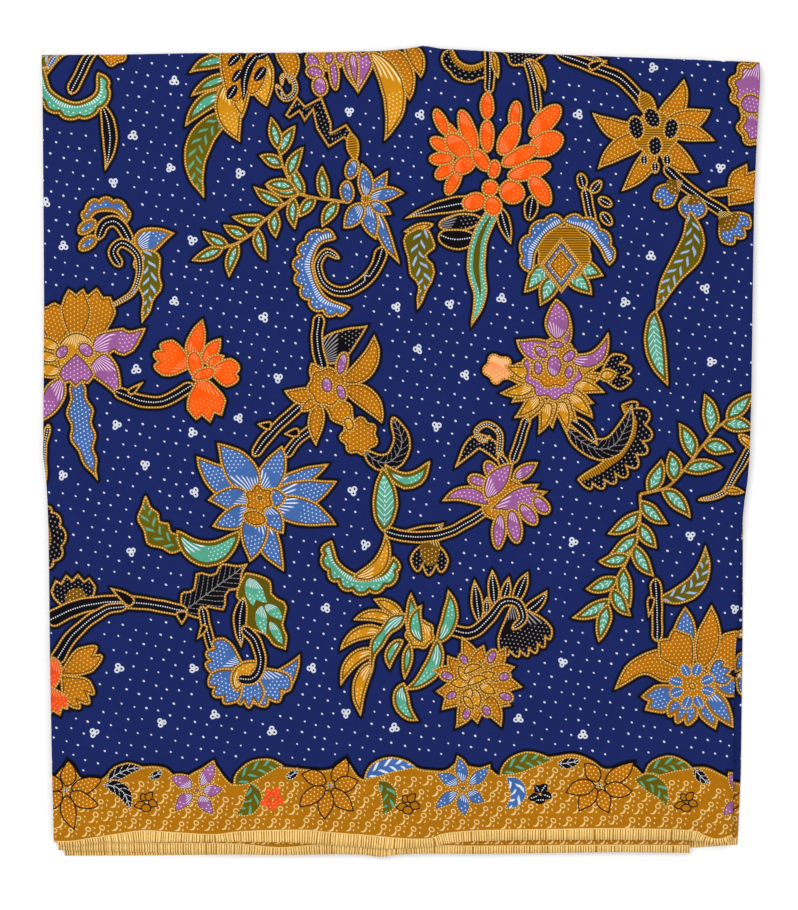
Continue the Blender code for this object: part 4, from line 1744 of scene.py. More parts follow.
    def level_rings(
        self, rng: np.random.Generator, span: tuple[float, float, float], top: float, rows: int, size: float
    ) -> None:
        """Draws rings on level staggered rows, each moved a little at random.

        Args:
            rng: Where the random numbers come from.
            span: Where a row begins and ends, and its step.
            top: The first row's place.
            rows: How many rows.
            size: How big the rings are, against the usual.
        """
        for row in range(rows):
            for x in np.arange(*span):
                self.tadpole((x + 6 * (row % 2) + rng.uniform(-2, 2), top + 12 * row), size)

    def draw(self) -> Brush:
        """Draws the whole border of the front.

        Returns:
            The brush, with its patches.
        """
        self.band(self.CREST)
        self.rings()
        for ply, width, centre, *tips in self.FLOWERS:
            self.rosette(centre, tips, width, ply)
        for ply, *rows in self.LEAVES:
            self.brush.petals(ply, *rows)
        for knot in self.KNOTS:
            self.knot(*knot)
        self.strip(self.FRONT_STRIP)
        return self.brush


@dataclass
class Ground:
    """The small white marks between the motifs: pin dots, and florets of three rings."""

    under: Sequence[Patch]
    brush: Brush = field(default_factory=Brush)
    low: Spot = (30.0, 38.0)  # the corners of the field that has dots
    high: Spot = (770.0, 800.0)
    dot_steps: tuple[Spot, Spot] = ((12.5, 3.0), (-4.4, 11.9))
    dot_bare: float = 3.4  # bare ground needed round a dot, and round a floret
    floret_bare: float = 8.5
    floret_start: Spot = (36.0, 48.0)
    floret_step: float = 66.0
    floret_shift: float = 20.0  # of every other row
    floret_apart: float = 0.72  # least distance between two, as a share of the step
    floret_clear: float = 9.5  # least distance between a floret and a dot
    floret_tries: int = 5
    ring_reach: float = 2.6  # from a floret's middle to that of each of its rings

    def clear(self, spots: Array, radius: float) -> Array:
        """Which spots have bare ground round them.

        Args:
            spots: Places in print units.
            radius: How far the ground must be bare.

        Returns:
            True for each such spot.
        """
        free = np.ones(len(spots), bool)
        for angle in np.linspace(0, 2 * math.pi, 8, endpoint=False):
            ring = spots + radius * np.array((math.cos(angle), math.sin(angle)))
            free &= topmost(to_plane(ring), self.under) < 0
        return free & (topmost(to_plane(spots), self.under) < 0)

    def floret_spots(self, rng: np.random.Generator) -> list[Array]:
        """Finds bare places for florets, on staggered rows that are moved at random at each try.

        Args:
            rng: Where the random numbers come from.

        Returns:
            The florets' middles, none too near another.
        """
        step, found = self.floret_step, []
        cells = np.array([(i, j) for j in range(14) for i in range(12)], float)
        for _ in range(self.floret_tries):
            shift = rng.uniform(-0.3, 0.3, cells.shape)
            spots = (cells + shift + (0.35, 0.3)) * step * (0.98, 0.9) + self.floret_start
            spots[:, 0] += self.floret_shift * (cells[:, 1] % 2)
            for spot in spots[self.clear(spots, self.floret_bare)]:
                if all(math.hypot(*(spot - other)) > step * self.floret_apart for other in found):
                    found.append(spot)
        return found

    def dot_spots(self, rng: np.random.Generator, florets: Sequence[Array]) -> Array:
        """Finds bare places for dots, on a leaning grid, each moved a little at random.

        Args:
            rng: Where the random numbers come from.
            florets: The florets' middles.

        Returns:
            The dots' middles.
        """
        (ax, ay), (bx, by) = self.dot_steps
        grid = np.array([(i * ax + j * bx, i * ay + j * by) for i in range(-10, 75) for j in range(-25, 75)])
        grid = grid[((grid > self.low) & (grid < self.high)).all(1)]
        grid = grid + rng.uniform(-1.7, 1.7, grid.shape)
        grid = grid[self.clear(grid, self.dot_bare)]
        away = np.array([min(math.hypot(*(spot - other)) for other in florets) for spot in grid])
        return grid[away > self.floret_clear]

    def draw(self) -> Brush:
        """Draws the florets and then the dots.

        Returns:
            The brush, with their patches.
        """
        rng = np.random.default_rng(11)
        florets = self.floret_spots(rng)
        for spot in florets:
            start = rng.uniform(0, 120)
            for k in range(3):
                turn = math.radians(start + 120 * k)
                at = spot + self.ring_reach * np.array((math.cos(turn), math.sin(turn)))
                self.brush.bare.disc(tuple(at), 5.6, 5.2, Ply.RING, start)
        dots = self.dot_spots(rng, florets)
        for spot in dots:
            size = rng.uniform(1.7, 2.4)
            self.brush.pin(tuple(spot), size * 1.25, size * 0.9, 40, Ply.DOT)
        LOG.info("%d florets, %d dots", len(florets), len(dots))
        return self.brush


# From the flat print to a mesh


@dataclass
class FlatPrint:
    """A triangulated, labelled print on the flat cloth.

    Attributes:
        points: Corners, in millimetres.
        faces: Triangles, anticlockwise.
        patch: Which patch each triangle belongs to, or -1.
        run: Place along and across the patch's guide, for each corner of each triangle.
        patches: The patches.
    """

    points: Array
    faces: Array
    patch: Array
    run: Array
    patches: list[Patch]


class PrintCutter:
    """Cuts a cloth along the edges of its print."""

    GRAIN = 0.004  # points closer than this are made one

    def __init__(self, outline: Array, patches: Sequence[Patch], step: float) -> None:
        """Keeps what is to be cut, without the patches that lie wholly beside the cloth.

        Args:
            outline: The cloth's edge, anticlockwise.
            patches: The patches, lowest first.
            step: The longest distance between points where there is no print.
        """
        self.outline = outline
        low, high = outline.min(0), outline.max(0)
        self.patches = [
            p for p in patches if (p.rim.max(0) > low).all() and (p.rim.min(0) < high).all()
        ]
        self.step = step

    def seen_edges(self) -> tuple[Array, Array]:
        """The patches' edges that show: those with another patch on top at each of their sides.

        Returns:
            The start and the end of each.
        """
        start = np.concatenate([p.rim for p in self.patches])
        end = np.concatenate([np.roll(p.rim, -1, axis=0) for p in self.patches])
        way = end - start
        length = np.maximum(np.hypot(way[:, 0], way[:, 1]), 1e-9)
        beside = np.stack([-way[:, 1], way[:, 0]], axis=1) / length[:, None] * 0.03
        shows = np.zeros(len(start), bool)
        for t in (0.08, 0.5, 0.92):
            place = start + way * t
            shows |= topmost(place + beside, self.patches) != topmost(place - beside, self.patches)
        low, high = self.outline.min(0) - 3, self.outline.max(0) + 3
        shows &= ((start > low) & (start < high)).all(1) & (length > 0.02)
        return start[shows], end[shows]

    def plain_points(self) -> Array:
        """Points of a staggered grid that keep bare cloth finely divided.

        Returns:
            The points.
        """
        low, high = self.outline.min(0), self.outline.max(0)
        rows = np.arange(low[1] + 1.5, high[1], self.step * 0.9)
        spots = []
        for i, y in enumerate(rows):
            x = np.arange(low[0] + (i % 2) * self.step / 2, high[0], self.step)
            spots.append(np.stack([x, np.full(len(x), y)], axis=1))
        grid = np.concatenate(spots)
        inner = inset(self.outline, 0.9)
        return grid[covers(inner, grid[:, 0], grid[:, 1])]

    def cut(self, extra: Array | None = None) -> FlatPrint:
        """Makes the triangulation and labels it.

        Args:
            extra: More points to keep, such as those of a lip.

        Returns:
            The flat print.
        """
        ring = self.outline
        points = [ring]
        pairs = [np.stack([np.arange(len(ring)), np.roll(np.arange(len(ring)), -1)], axis=1)]
        count = len(ring)
        if self.patches:
            start, end = self.seen_edges()
            points += [start, end]
            first = np.arange(len(start)) + count
            pairs.append(np.stack([first, first + len(start)], axis=1))
        points.append(self.plain_points())
        if extra is not None:
            points.append(extra)
        flat = np.concatenate(points)
        edges = np.concatenate(pairs)
        whole, index = np.unique(np.round(flat / self.GRAIN).astype(np.int64), axis=0, return_inverse=True)
        edges = np.sort(index.reshape(-1)[edges], axis=1)
        edges = np.unique(edges[edges[:, 0] != edges[:, 1]], axis=0)
        whole = whole * self.GRAIN
        made = delaunay_2d_cdt([Vector(p) for p in whole.tolist()], edges.tolist(), [], 0, 0.003, False)
        vertices = np.array([v[:] for v in made[0]])
        faces = np.array(made[2], dtype=np.int64)
        a, b, c = (vertices[faces[:, k]] for k in range(3))
        area = (b[:, 0] - a[:, 0]) * (c[:, 1] - a[:, 1]) - (b[:, 1] - a[:, 1]) * (c[:, 0] - a[:, 0])
        faces[area < 0] = faces[area < 0][:, ::-1]
        middle = (a + b + c) / 3
        kept = covers(self.outline, middle[:, 0], middle[:, 1]) & (np.abs(area) > 1e-7)
        faces, middle = faces[kept], middle[kept]
        used, faces = np.unique(faces, return_inverse=True)
        vertices, faces = vertices[used], faces.reshape(-1, 3)
        patch = topmost(middle, self.patches)
        return FlatPrint(vertices, faces, patch, self.runs(vertices, faces, patch), self.patches)

    def runs(self, vertices: Array, faces: Array, patch: Array) -> Array:
        """Places of corners along and across their patch's guide.

        Args:
            vertices: The flat corners.
            faces: The triangles.
            patch: Each triangle's patch.

        Returns:
            One pair for each corner of each triangle.
        """
        run = np.zeros((len(faces), 3, 2))
        order = np.argsort(patch, kind="stable")
        bounds = np.searchsorted(patch[order], np.arange(len(self.patches) + 1))
        for index, item in enumerate(self.patches):
            mine = order[bounds[index] : bounds[index + 1]]
            if item.guide is None or item.mark is Mark.PLAIN or not len(mine):
                continue
            placed, length = run_along(vertices[faces[mine]].reshape(-1, 2), item.guide, item.closed)
            placed = placed.reshape(-1, 3, 2)
            if item.closed:
                along = placed[:, :, 0]
                torn = np.ptp(along, axis=1) > length / 2
                along[torn] += np.where(along[torn] < length / 2, length, 0)
            run[mine] = placed
        return run


def boundary_loop(faces: Array, points: Array) -> Array:
    """The edge of a triangulated sheet, in order.

    An edge that only one triangle has lies on the sheet's edge. Each corner's number of steps to the
    last one is found by doubling how far ahead it looks, and sorts the corners.

    Args:
        faces: The triangles.
        points: The flat corners.

    Returns:
        Corner numbers, anticlockwise from the lower left.
    """
    ends = np.concatenate([faces[:, [0, 1]], faces[:, [1, 2]], faces[:, [2, 0]]])
    _, row, count = np.unique(np.sort(ends, axis=1), axis=0, return_index=True, return_counts=True)
    here, there = ends[row[count == 1]].T
    first = here[points[here].sum(1).argmin()]
    ahead = np.arange(len(points))
    ahead[here] = np.where(there == first, here, there)
    steps = (ahead != np.arange(len(points))).astype(np.int64)
    for _ in range(len(here).bit_length()):
        steps = steps + steps[ahead]
        ahead = ahead[ahead]
    if steps.max() != len(here) - 1:
        raise ValueError("the sheet's edge isn't one loop")
    return here[np.argsort(-steps[here])]


def zip_loops(upper: Array, lower: Array, upper_at: Array, lower_at: Array) -> Array:
    """Joins two loops that run side by side with triangles, one for each step along either.

    Args:
        upper: Corner numbers of one loop.
        lower: Corner numbers of the other.
        upper_at: How far round each corner of the first is, from 0 to 1.
        lower_at: The same for the second.

    Returns:
        The triangles.
    """
    order = np.argsort([*upper_at[1:], 1.0, *lower_at[1:], 1.0], kind="stable")
    on_upper = order < len(upper)
    i, j = np.cumsum(on_upper) - on_upper, np.cumsum(~on_upper) - ~on_upper
    ahead = np.where(on_upper, np.roll(upper, -1)[i % len(upper)], np.roll(lower, -1)[j % len(lower)])
    return np.stack([upper[i % len(upper)], lower[j % len(lower)], ahead], axis=1)


@dataclass(frozen=True)
class ClothMesh:
    """A thin closed shell with a print on each of its two faces."""

    name: str
    thickness: float

    @staticmethod
    def normals(face: Surface, flat: Array) -> Array:
        """Unit normals of a surface, square to its steps along its two directions.

        Args:
            face: The surface, as a function of the flat cloth's two directions.
            flat: Places on the flat cloth.

        Returns:
            One normal for each place.
        """
        u, v = flat[:, 0], flat[:, 1]
        across = face(u + 0.15, v) - face(u - 0.15, v)
        up = face(u, v + 0.15) - face(u, v - 0.15)
        normal = np.cross(across, up)
        return normal / np.maximum(np.linalg.norm(normal, axis=1), 1e-12)[:, None]

    @staticmethod
    def round_of(flat: FlatPrint) -> tuple[Array, Array]:
        """A sheet's edge and how far round it each corner is.

        Args:
            flat: The flat print.

        Returns:
            Corner numbers, and shares of the way round.
        """
        loop = boundary_loop(flat.faces, flat.points)
        ring = flat.points[loop]
        length = np.hypot(*(np.roll(ring, -1, axis=0) - ring).T)
        return loop, np.concatenate([[0], np.cumsum(length)[:-1]]) / length.sum()

    def build(self, upper: FlatPrint, lower: FlatPrint, face: Surface, edge_dye: Dye) -> Thing:
        """Makes the shell's object.

        Args:
            upper: The print of the face.
            lower: The print of the other face.
            face: The outer face's place, as a function of the flat cloth's two directions.
            edge_dye: The colour of the cut edge.

        Returns:
            The object.
        """
        top = face(*upper.points.T)
        under = face(*lower.points.T) - self.normals(face, lower.points) * self.thickness
        points = np.concatenate([top, under])
        shift = len(top)
        (loop_a, at_a), (loop_b, at_b) = self.round_of(upper), self.round_of(lower)
        rim = zip_loops(loop_a, loop_b + shift, at_a, at_b)
        rim = rim[(rim[:, 0] != rim[:, 1]) & (rim[:, 1] != rim[:, 2]) & (rim[:, 0] != rim[:, 2])]
        faces = np.concatenate([upper.faces, lower.faces[:, ::-1] + shift, rim])
        points[:, :2] += CENTRING
        thing = self.make_object(points, faces, len(upper.faces) + len(lower.faces))
        self.paint(thing, upper, lower, len(rim), edge_dye)
        return thing

    def make_object(self, points: Array, faces: Array, smooth_count: int) -> Thing:
        """Turns arrays into an object.

        Args:
            points: The corners, in millimetres.
            faces: The triangles.
            smooth_count: How many of the first triangles are shaded smooth.

        Returns:
            The object, linked to the scene.
        """
        mesh = bpy.data.meshes.new(self.name)
        mesh.vertices.add(len(points))
        mesh.vertices.foreach_set("co", (points * MM).astype(np.float32).ravel())
        mesh.loops.add(faces.size)
        mesh.loops.foreach_set("vertex_index", faces.astype(np.int32).ravel())
        mesh.polygons.add(len(faces))
        mesh.polygons.foreach_set("loop_start", np.arange(0, faces.size, 3, dtype=np.int32))
        smooth = np.arange(len(faces)) < smooth_count
        mesh.update(calc_edges=True)
        mesh.polygons.foreach_set("use_smooth", smooth)
        thing = bpy.data.objects.new(self.name, mesh)
        bpy.context.scene.collection.objects.link(thing)
        return thing

    @staticmethod
    def paint(thing: Thing, upper: FlatPrint, lower: FlatPrint, rims: int, edge_dye: Dye) -> None:
        """Writes dyes, marks and places as attributes.

        Args:
            thing: The object.
            upper: The print of the face.
            lower: The print of the other face.
            rims: How many triangles the edge has.
            edge_dye: The colour of the edge.
        """
        dyes, inks, marks = [], [], []
        for flat in (upper, lower):
            bare = Patch(np.empty(0), Dye.NAVY, Mark.GROUND, Dye.NAVY, reach=1.0)
            every = [*flat.patches, bare]
            dyes.append(np.array([p.dye.linear for p in every])[flat.patch])
            inks.append(np.array([p.ink.linear for p in every])[flat.patch])
            marks.append(np.array([(p.mark, p.reach, 0) for p in every], float)[flat.patch])
        dyes.append(np.tile(edge_dye.linear, (rims, 1)))
        inks.append(np.tile(edge_dye.linear, (rims, 1)))
        marks.append(np.tile((0.0, 1.0, 0.0), (rims, 1)))
        mesh = thing.data
        for name, kind, prop, rows in (
            ("dye", "FLOAT_COLOR", "color", dyes),
            ("ink", "FLOAT_COLOR", "color", inks),
            ("mark", "FLOAT_VECTOR", "vector", marks),
        ):
            made = mesh.attributes.new(name, kind, "FACE")
            made.data.foreach_set(prop, np.concatenate(rows).astype(np.float32).ravel())
        run = np.concatenate([upper.run.reshape(-1, 2), lower.run.reshape(-1, 2), np.zeros((rims * 3, 2))])
        mesh.uv_layers.new(name="run").data.foreach_set("uv", run.astype(np.float32).ravel())
        corner = np.empty(len(mesh.loops), np.int32)
        mesh.loops.foreach_get("vertex_index", corner)
        flat = np.concatenate([upper.points, lower.points])[corner]
        low, high = flat.min(0), flat.max(0)
        place = (flat - low) / (high - low)
        ends = np.cumsum([len(upper.faces) * 3, len(lower.faces) * 3])
        bake = place * (0.84, 0.99) + (0.005, 0.005)
        bake[ends[0] : ends[1]] = place[ends[0] : ends[1]] * (0.14, 0.98) + (0.853, 0.005)
        bake[ends[1] :] = place[ends[1] :] * (0.0, 0.98) + (0.997, 0.005)
        mesh.uv_layers.new(name="OFBake").data.foreach_set("uv", bake.astype(np.float32).ravel())


# Shading


@dataclass(frozen=True, eq=False)
class Sock:
    """A shader value that adds, multiplies and compares with others."""

    tree: bpy.types.NodeTree
    socket: bpy.types.NodeSocket

    def maths(self, operation: str, *others: Sock | float) -> Sock:
        """Puts one Math node after this value.

        Args:
            operation: The node's operation.
            *others: Its further inputs.

        Returns:
            The result.
        """
        node = self.tree.nodes.new("ShaderNodeMath")
        node.operation = operation
        self.tree.links.new(self.socket, node.inputs[0])
        for place, other in enumerate(others, 1):
            if isinstance(other, Sock):
                self.tree.links.new(other.socket, node.inputs[place])
            else:
                node.inputs[place].default_value = other
        return Sock(self.tree, node.outputs[0])

    def __add__(self, other: Sock | float) -> Sock:
        """The sum of the two."""
        return self.maths("ADD", other)

    def __sub__(self, other: Sock | float) -> Sock:
        """The other taken from this."""
        return self.maths("SUBTRACT", other)

    def __rsub__(self, other: float) -> Sock:
        """This taken from a number."""
        return self * -1.0 + other

    def __mul__(self, other: Sock | float) -> Sock:
        """The product of the two."""
        return self.maths("MULTIPLY", other)

    def __truediv__(self, other: Sock | float) -> Sock:
        """This divided by the other."""
        return self.maths("DIVIDE", other)

    def __gt__(self, other: Sock | float) -> Sock:
        """1 where this is greater, and 0 elsewhere."""
        return self.maths("GREATER_THAN", other)

    def __abs__(self) -> Sock:
        """The value without its sign."""
        return self.maths("ABSOLUTE")

    __radd__ = __add__
    __rmul__ = __mul__

    @property
    def floor(self) -> Sock:
        """The value rounded down."""
        return self.maths("FLOOR")

    @property
    def fract(self) -> Sock:
        """What is left above the value rounded down."""
        return self.maths("FRACT")

    @property
    def sine(self) -> Sock:
        """The value's sine."""
        return self.maths("SINE")

    def length_with(self, other: Sock) -> Sock:
        """The length of a pair."""
        return (self * self + other * other).maths("SQRT")

    def is_about(self, value: float) -> Sock:
        """Whether the value is a whole number."""
        return self.maths("COMPARE", value, 0.3)

    def under(self, edge: Sock | float, soft: float) -> Sock:
        """A soft test for being below an edge.

        Args:
            edge: The edge.
            soft: How wide the change is.

        Returns:
            1 below it, 0 above.
        """
        inside = 0.5 - (self - edge) / soft
        inside.socket.node.use_clamp = True
        return inside


class NodeBook:
    """Makes a material's nodes."""

    def __init__(self, name: str) -> None:
        """Starts a material, with the shader that it comes with.

        Args:
            name: The material's name.
        """
        self.material = bpy.data.materials.new(name)
        self.material.use_nodes = True
        self.tree = self.material.node_tree
        self.shader = self.tree.nodes["Principled BSDF"]

    def node(
        self, kind: str, output: str | int, settings: dict[str, object] | None = None, **inputs: object
    ) -> Sock:
        """Makes one node.

        Args:
            kind: The node's type, without the words that all begin with.
            output: Which output to return.
            settings: Properties to set on the node.
            **inputs: Values or links for its inputs, by name with _ for a space, or by i and a number.

        Returns:
            The output.
        """
        made = self.tree.nodes.new("ShaderNode" + kind)
        for name, value in (settings or {}).items():
            setattr(made, name, value)
        for name, value in inputs.items():
            numbered = name[0] == "i" and name[1:].isdigit()
            place = made.inputs[int(name[1:]) if numbered else name.replace("_", " ")]
            if isinstance(value, Sock):
                self.tree.links.new(value.socket, place)
            else:
                place.default_value = value
        return Sock(self.tree, made.outputs[output])

    def mix(self, share: Sock | float, first: Sock | tuple, second: Sock | tuple) -> Sock:
        """Mixes two colours."""
        return self.node("Mix", 2, {"data_type": "RGBA"}, i0=share, i6=first, i7=second)

    def feed(self, name: str, value: Sock) -> None:
        """Links a value to the shader."""
        self.tree.links.new(value.socket, self.shader.inputs[name])


@dataclass(frozen=True)
class BatikCotton:
    """Matt cotton with a waxed and dyed print, read from a mesh's attributes."""

    name: str
    roughness: float = 0.74
    specular: float = 0.06
    yarn: float = 0.55  # from thread to thread, then from mark to mark, in millimetres
    bead: float = 1.85
    stitch: float = 1.6
    dot: float = 2.85
    dot_row: float = 2.4
    tooth: float = 1.5
    vein: float = 4.2
    rib: float = 4.8
    rachis: float = 3.1
    dash: float = 7.8
    bar: float = 1.6
    hatch: float = 1.72
    slope: float = 1.1  # how far side lines lean along a leaf
    scatter: float = 12.9898  # makes neighbouring lines end at different places

    def marks(self, book: NodeBook) -> tuple[Sock, Sock]:
        """Where the second colour shows, as soft steps of places along and across a patch's line.

        Args:
            book: The material's nodes.

        Returns:
            How much of it shows, and how light the dye under it is.
        """
        run = book.node("UVMap", 0, {"uv_map": "run"})
        along = book.node("SeparateXYZ", 0, Vector=run)
        across = book.node("SeparateXYZ", 1, Vector=run)
        mark = book.node("Attribute", "Vector", {"attribute_name": "mark"})
        kind = book.node("SeparateXYZ", 0, Vector=mark)
        reach = book.node("SeparateXYZ", 1, Vector=mark)

        bead = ((along / self.bead).fract - 0.5) * self.bead
        stitch = ((along / self.stitch).fract - 0.5) * self.stitch

        row = (across / self.dot_row).floor
        dot_x = ((along / self.dot + row * 0.5 + (row * 5.7).sine * 0.22).fract - 0.5) * self.dot
        dot_y = ((across / self.dot_row).fract - 0.5) * self.dot_row
        dots = dot_x.length_with(dot_y).under(0.42, 0.28)

        bearing = across.maths("ARCTAN2", along + 5.0) * 9.0
        ray = bearing.floor
        ragged = (ray * self.scatter).sine * 0.12 + 0.38
        strokes = abs(bearing.fract - 0.5).under(0.17, 0.12) * (along / reach).under(ragged, 0.05)

        tooth = (along / self.tooth).floor
        fringe = abs((along / self.tooth).fract - 0.5).under(0.2, 0.14)
        fringe = fringe * abs(across).under((tooth * self.scatter).sine * 0.8 + 3.4, 0.5)

        slant = along - abs(across) * self.slope
        vein = abs((slant / self.vein).fract - 0.5).under(0.075, 0.08) * (abs(across) > 0.5)
        rachis = abs(across).under(0.3, 0.2) * ((along / self.rachis).fract > 0.5)
        rib = abs((slant / self.rib).fract - 0.5).under(0.05, 0.05) * ((abs(across) / 1.5).fract > 0.3)
        spine = abs(across).under(0.28, 0.2) * ((along / 1.1).fract > 0.3)
        dash = ((slant + (across > 0) * 3.4) / self.dash).fract

        line = {"noise_dimensions": "1D"}
        shake = book.node("TexNoise", 0, line, W=along, Scale=0.35, Detail=1.0)
        stroke = ((along + shake * 1.6) / self.hatch).fract

        shown = {
            Mark.BEADED: bead.length_with(across).under(0.42, 0.3),
            Mark.MIDLINE: stitch.length_with(across).under(0.42, 0.28),
            Mark.SPECKLED: dots,
            Mark.STROKED: strokes.maths("MAXIMUM", dots * ((along / reach) > 0.5)),
            Mark.FRINGED: fringe.maths("MAXIMUM", dots * (abs(across) > 4.4)),
            Mark.VEINED: vein.maths("MAXIMUM", rachis),
            Mark.RIBBED: rib.maths("MAXIMUM", spine),
            Mark.DASHED: abs(dash - 0.5).under(0.14, 0.06) * (abs(abs(across) - 2.5)).under(1.9, 0.5),
            Mark.BARRED: abs((along / self.bar).fract - 0.5).under(0.2, 0.16),
            Mark.HATCHED: abs(stroke - 0.5).under(0.3, 0.16),
        }
        total = sum(share * kind.is_about(mark) for mark, share in shown.items())
        fade = (along / reach).maths("MINIMUM", 1.0).maths("MAXIMUM", 0.0) * 0.34 + 0.76
        plain = kind.is_about(Mark.GROUND).maths("MAXIMUM", kind.is_about(Mark.BEADED))
        return total.maths("MINIMUM", 1.0), fade.maths("MAXIMUM", plain)

    def finish(self) -> bpy.types.Material:
        """Builds the material.

        Returns:
            The material.
        """
        book = NodeBook(self.name)
        ink_share, fade = self.marks(book)
        dye = book.node("Attribute", "Color", {"attribute_name": "dye"})
        ink = book.node("Attribute", "Color", {"attribute_name": "ink"})
        place = book.node("TexCoord", "Object")
        wax = book.node("TexNoise", 0, Vector=place, Scale=900.0, Detail=2.0, Roughness=0.6)
        share = ink_share * (wax * 0.9 + 0.42).maths("MINIMUM", 1.0)
        faded = book.node("VectorMath", 0, {"operation": "SCALE"}, Vector=dye, Scale=fade)
        colour = book.mix(share, faded, ink)

        cloud = book.node("TexNoise", 0, Vector=place, Scale=26.0, Detail=3.0)
        grain = book.node("TexNoise", 0, Vector=place, Scale=420.0, Detail=2.0)
        shade = cloud * 0.26 + grain * 0.34 + 0.7
        colour = book.node("VectorMath", 0, {"operation": "SCALE"}, Vector=colour, Scale=shade)
        book.feed("Base Color", colour)

        x = book.node("SeparateXYZ", 0, Vector=place)
        y = book.node("SeparateXYZ", 1, Vector=place)
        turn = 2 * math.pi / (self.yarn * MM)
        warp, weft = (x * turn).sine, (y * turn).sine
        weave = warp * weft * 0.5 + grain * 0.8
        wrinkle = book.node("TexNoise", 0, Vector=place, Scale=55.0, Detail=4.0, Roughness=0.55)
        bump = book.node("Bump", 0, Height=weave, Distance=0.00006, Strength=0.5)
        soft = book.node("Bump", 0, Height=wrinkle, Distance=0.0011, Strength=0.35, Normal=bump)
        book.feed("Normal", soft)
        book.feed("Roughness", grain * 0.16 + self.roughness)
        book.shader.inputs["Specular IOR Level"].default_value = self.specular
        return book.material


@dataclass(frozen=True)
class PlainCotton:
    """Matt dotted cotton of the layers that show only at their folded edges."""

    name: str
    dye: Dye

    def finish(self) -> bpy.types.Material:
        """Builds the material.

        Returns:
            The material.
        """
        book = NodeBook(self.name)
        place = book.node("TexCoord", "Object")
        cloud = book.node("TexNoise", 0, Vector=place, Scale=40.0, Detail=3.0)
        dots = book.node("TexVoronoi", 0, Vector=place, Scale=120.0)
        grain = book.node("TexNoise", 0, Vector=place, Scale=500.0, Detail=2.0)
        plain = book.mix(cloud, self.dye.linear, (*(c * 1.5 for c in self.dye.linear[:3]), 1.0))
        colour = book.mix(dots.under(0.16, 0.05), plain, Dye.WHITE.linear)
        book.feed("Base Color", colour)
        bump = book.node("Bump", 0, Height=grain, Distance=0.0001, Strength=0.5)
        book.feed("Normal", bump)
        book.feed("Roughness", grain * 0.15 + 0.76)
        book.shader.inputs["Specular IOR Level"].default_value = BatikCotton.specular
        return book.material


# The hidden layers


@dataclass(frozen=True)
class HiddenLayers:
    """The layers that never show, as one solid with a rounded step for each at its edges."""

    stack: FoldedStack
    angles: tuple[int, ...] = (-80, -58, -34, -12, 12, 34, 58, 80)
    corner: float = 2.5  # how far the rings' corners are cut back

    def ring(self, layer: int, angle: float) -> Array:
        """One ring round the stack, at a place on the half round of a layer's edge.

        Args:
            layer: Which layer, from the lowest.
            angle: Degrees round the layer's rounded edge.

        Returns:
            The ring's points.
        """
        stack = self.stack
        cut = {name: values[layer] for name, values in stack.HIDDEN_INSETS.items()}
        radius = stack.hidden_pitch / 2
        pull = radius * (1 - math.cos(math.radians(angle)))
        middle = stack.hidden_bottom + stack.hidden_pitch * (layer + 0.5)
        height = middle + radius * math.sin(math.radians(angle))
        bottom = stack.hidden_hem + cut["hem"] + pull
        y = np.linspace(bottom + self.corner, 259.0 - cut["fold"], 60)
        wave = 0.25 * np.sin(y / 23.0 + layer)
        left = np.maximum(stack.side("front_left", y), stack.side("back_left", y))
        right = np.minimum(stack.side("front_right", y), stack.side("back_right", y))
        left, right = left + cut["left"] + pull + wave, right - cut["right"] - pull - wave
        top_x, hem_x = (np.linspace(left[k] + self.corner, right[k] - self.corner, 60) for k in (-1, 0))
        top = stack.along(stack.LONG_FOLD, top_x) - cut["fold"] - pull
        hem = bottom + 0.2 * np.sin(hem_x / 19.0 + 2 * layer)
        flat = np.concatenate([
            np.stack([hem_x, hem], 1), np.stack([right, y], 1),
            np.stack([top_x, top], 1)[::-1], np.stack([left, y], 1)[::-1],
        ])
        return np.column_stack([flat, np.full(len(flat), height)])

    def build(self, name: str) -> Thing:
        """Makes the object.

        Args:
            name: Its name.

        Returns:
            The object.
        """
        rings = [self.ring(k, a) for k in range(self.stack.hidden_count) for a in self.angles]
        count = len(rings[0])
        points = np.concatenate([*rings, [(0, 0, self.stack.hidden_bottom), (0, 0, self.stack.hidden_top)]])
        i = np.arange(count)
        j = (i + 1) % count
        faces = []
        for r in range(len(rings) - 1):
            a, b = r * count, (r + 1) * count
            faces += [np.stack([a + i, a + j, b + j], 1), np.stack([a + i, b + j, b + i], 1)]
        last = (len(rings) - 1) * count
        faces += [np.stack([j, i, np.full(count, len(points) - 2)], 1)]
        faces += [np.stack([last + i, last + j, np.full(count, len(points) - 1)], 1)]
        points[:, :2] += CENTRING
        maker = ClothMesh(name, 0.0)
        faces = np.concatenate(faces)
        return maker.make_object(points, faces, len(faces))


# The studio


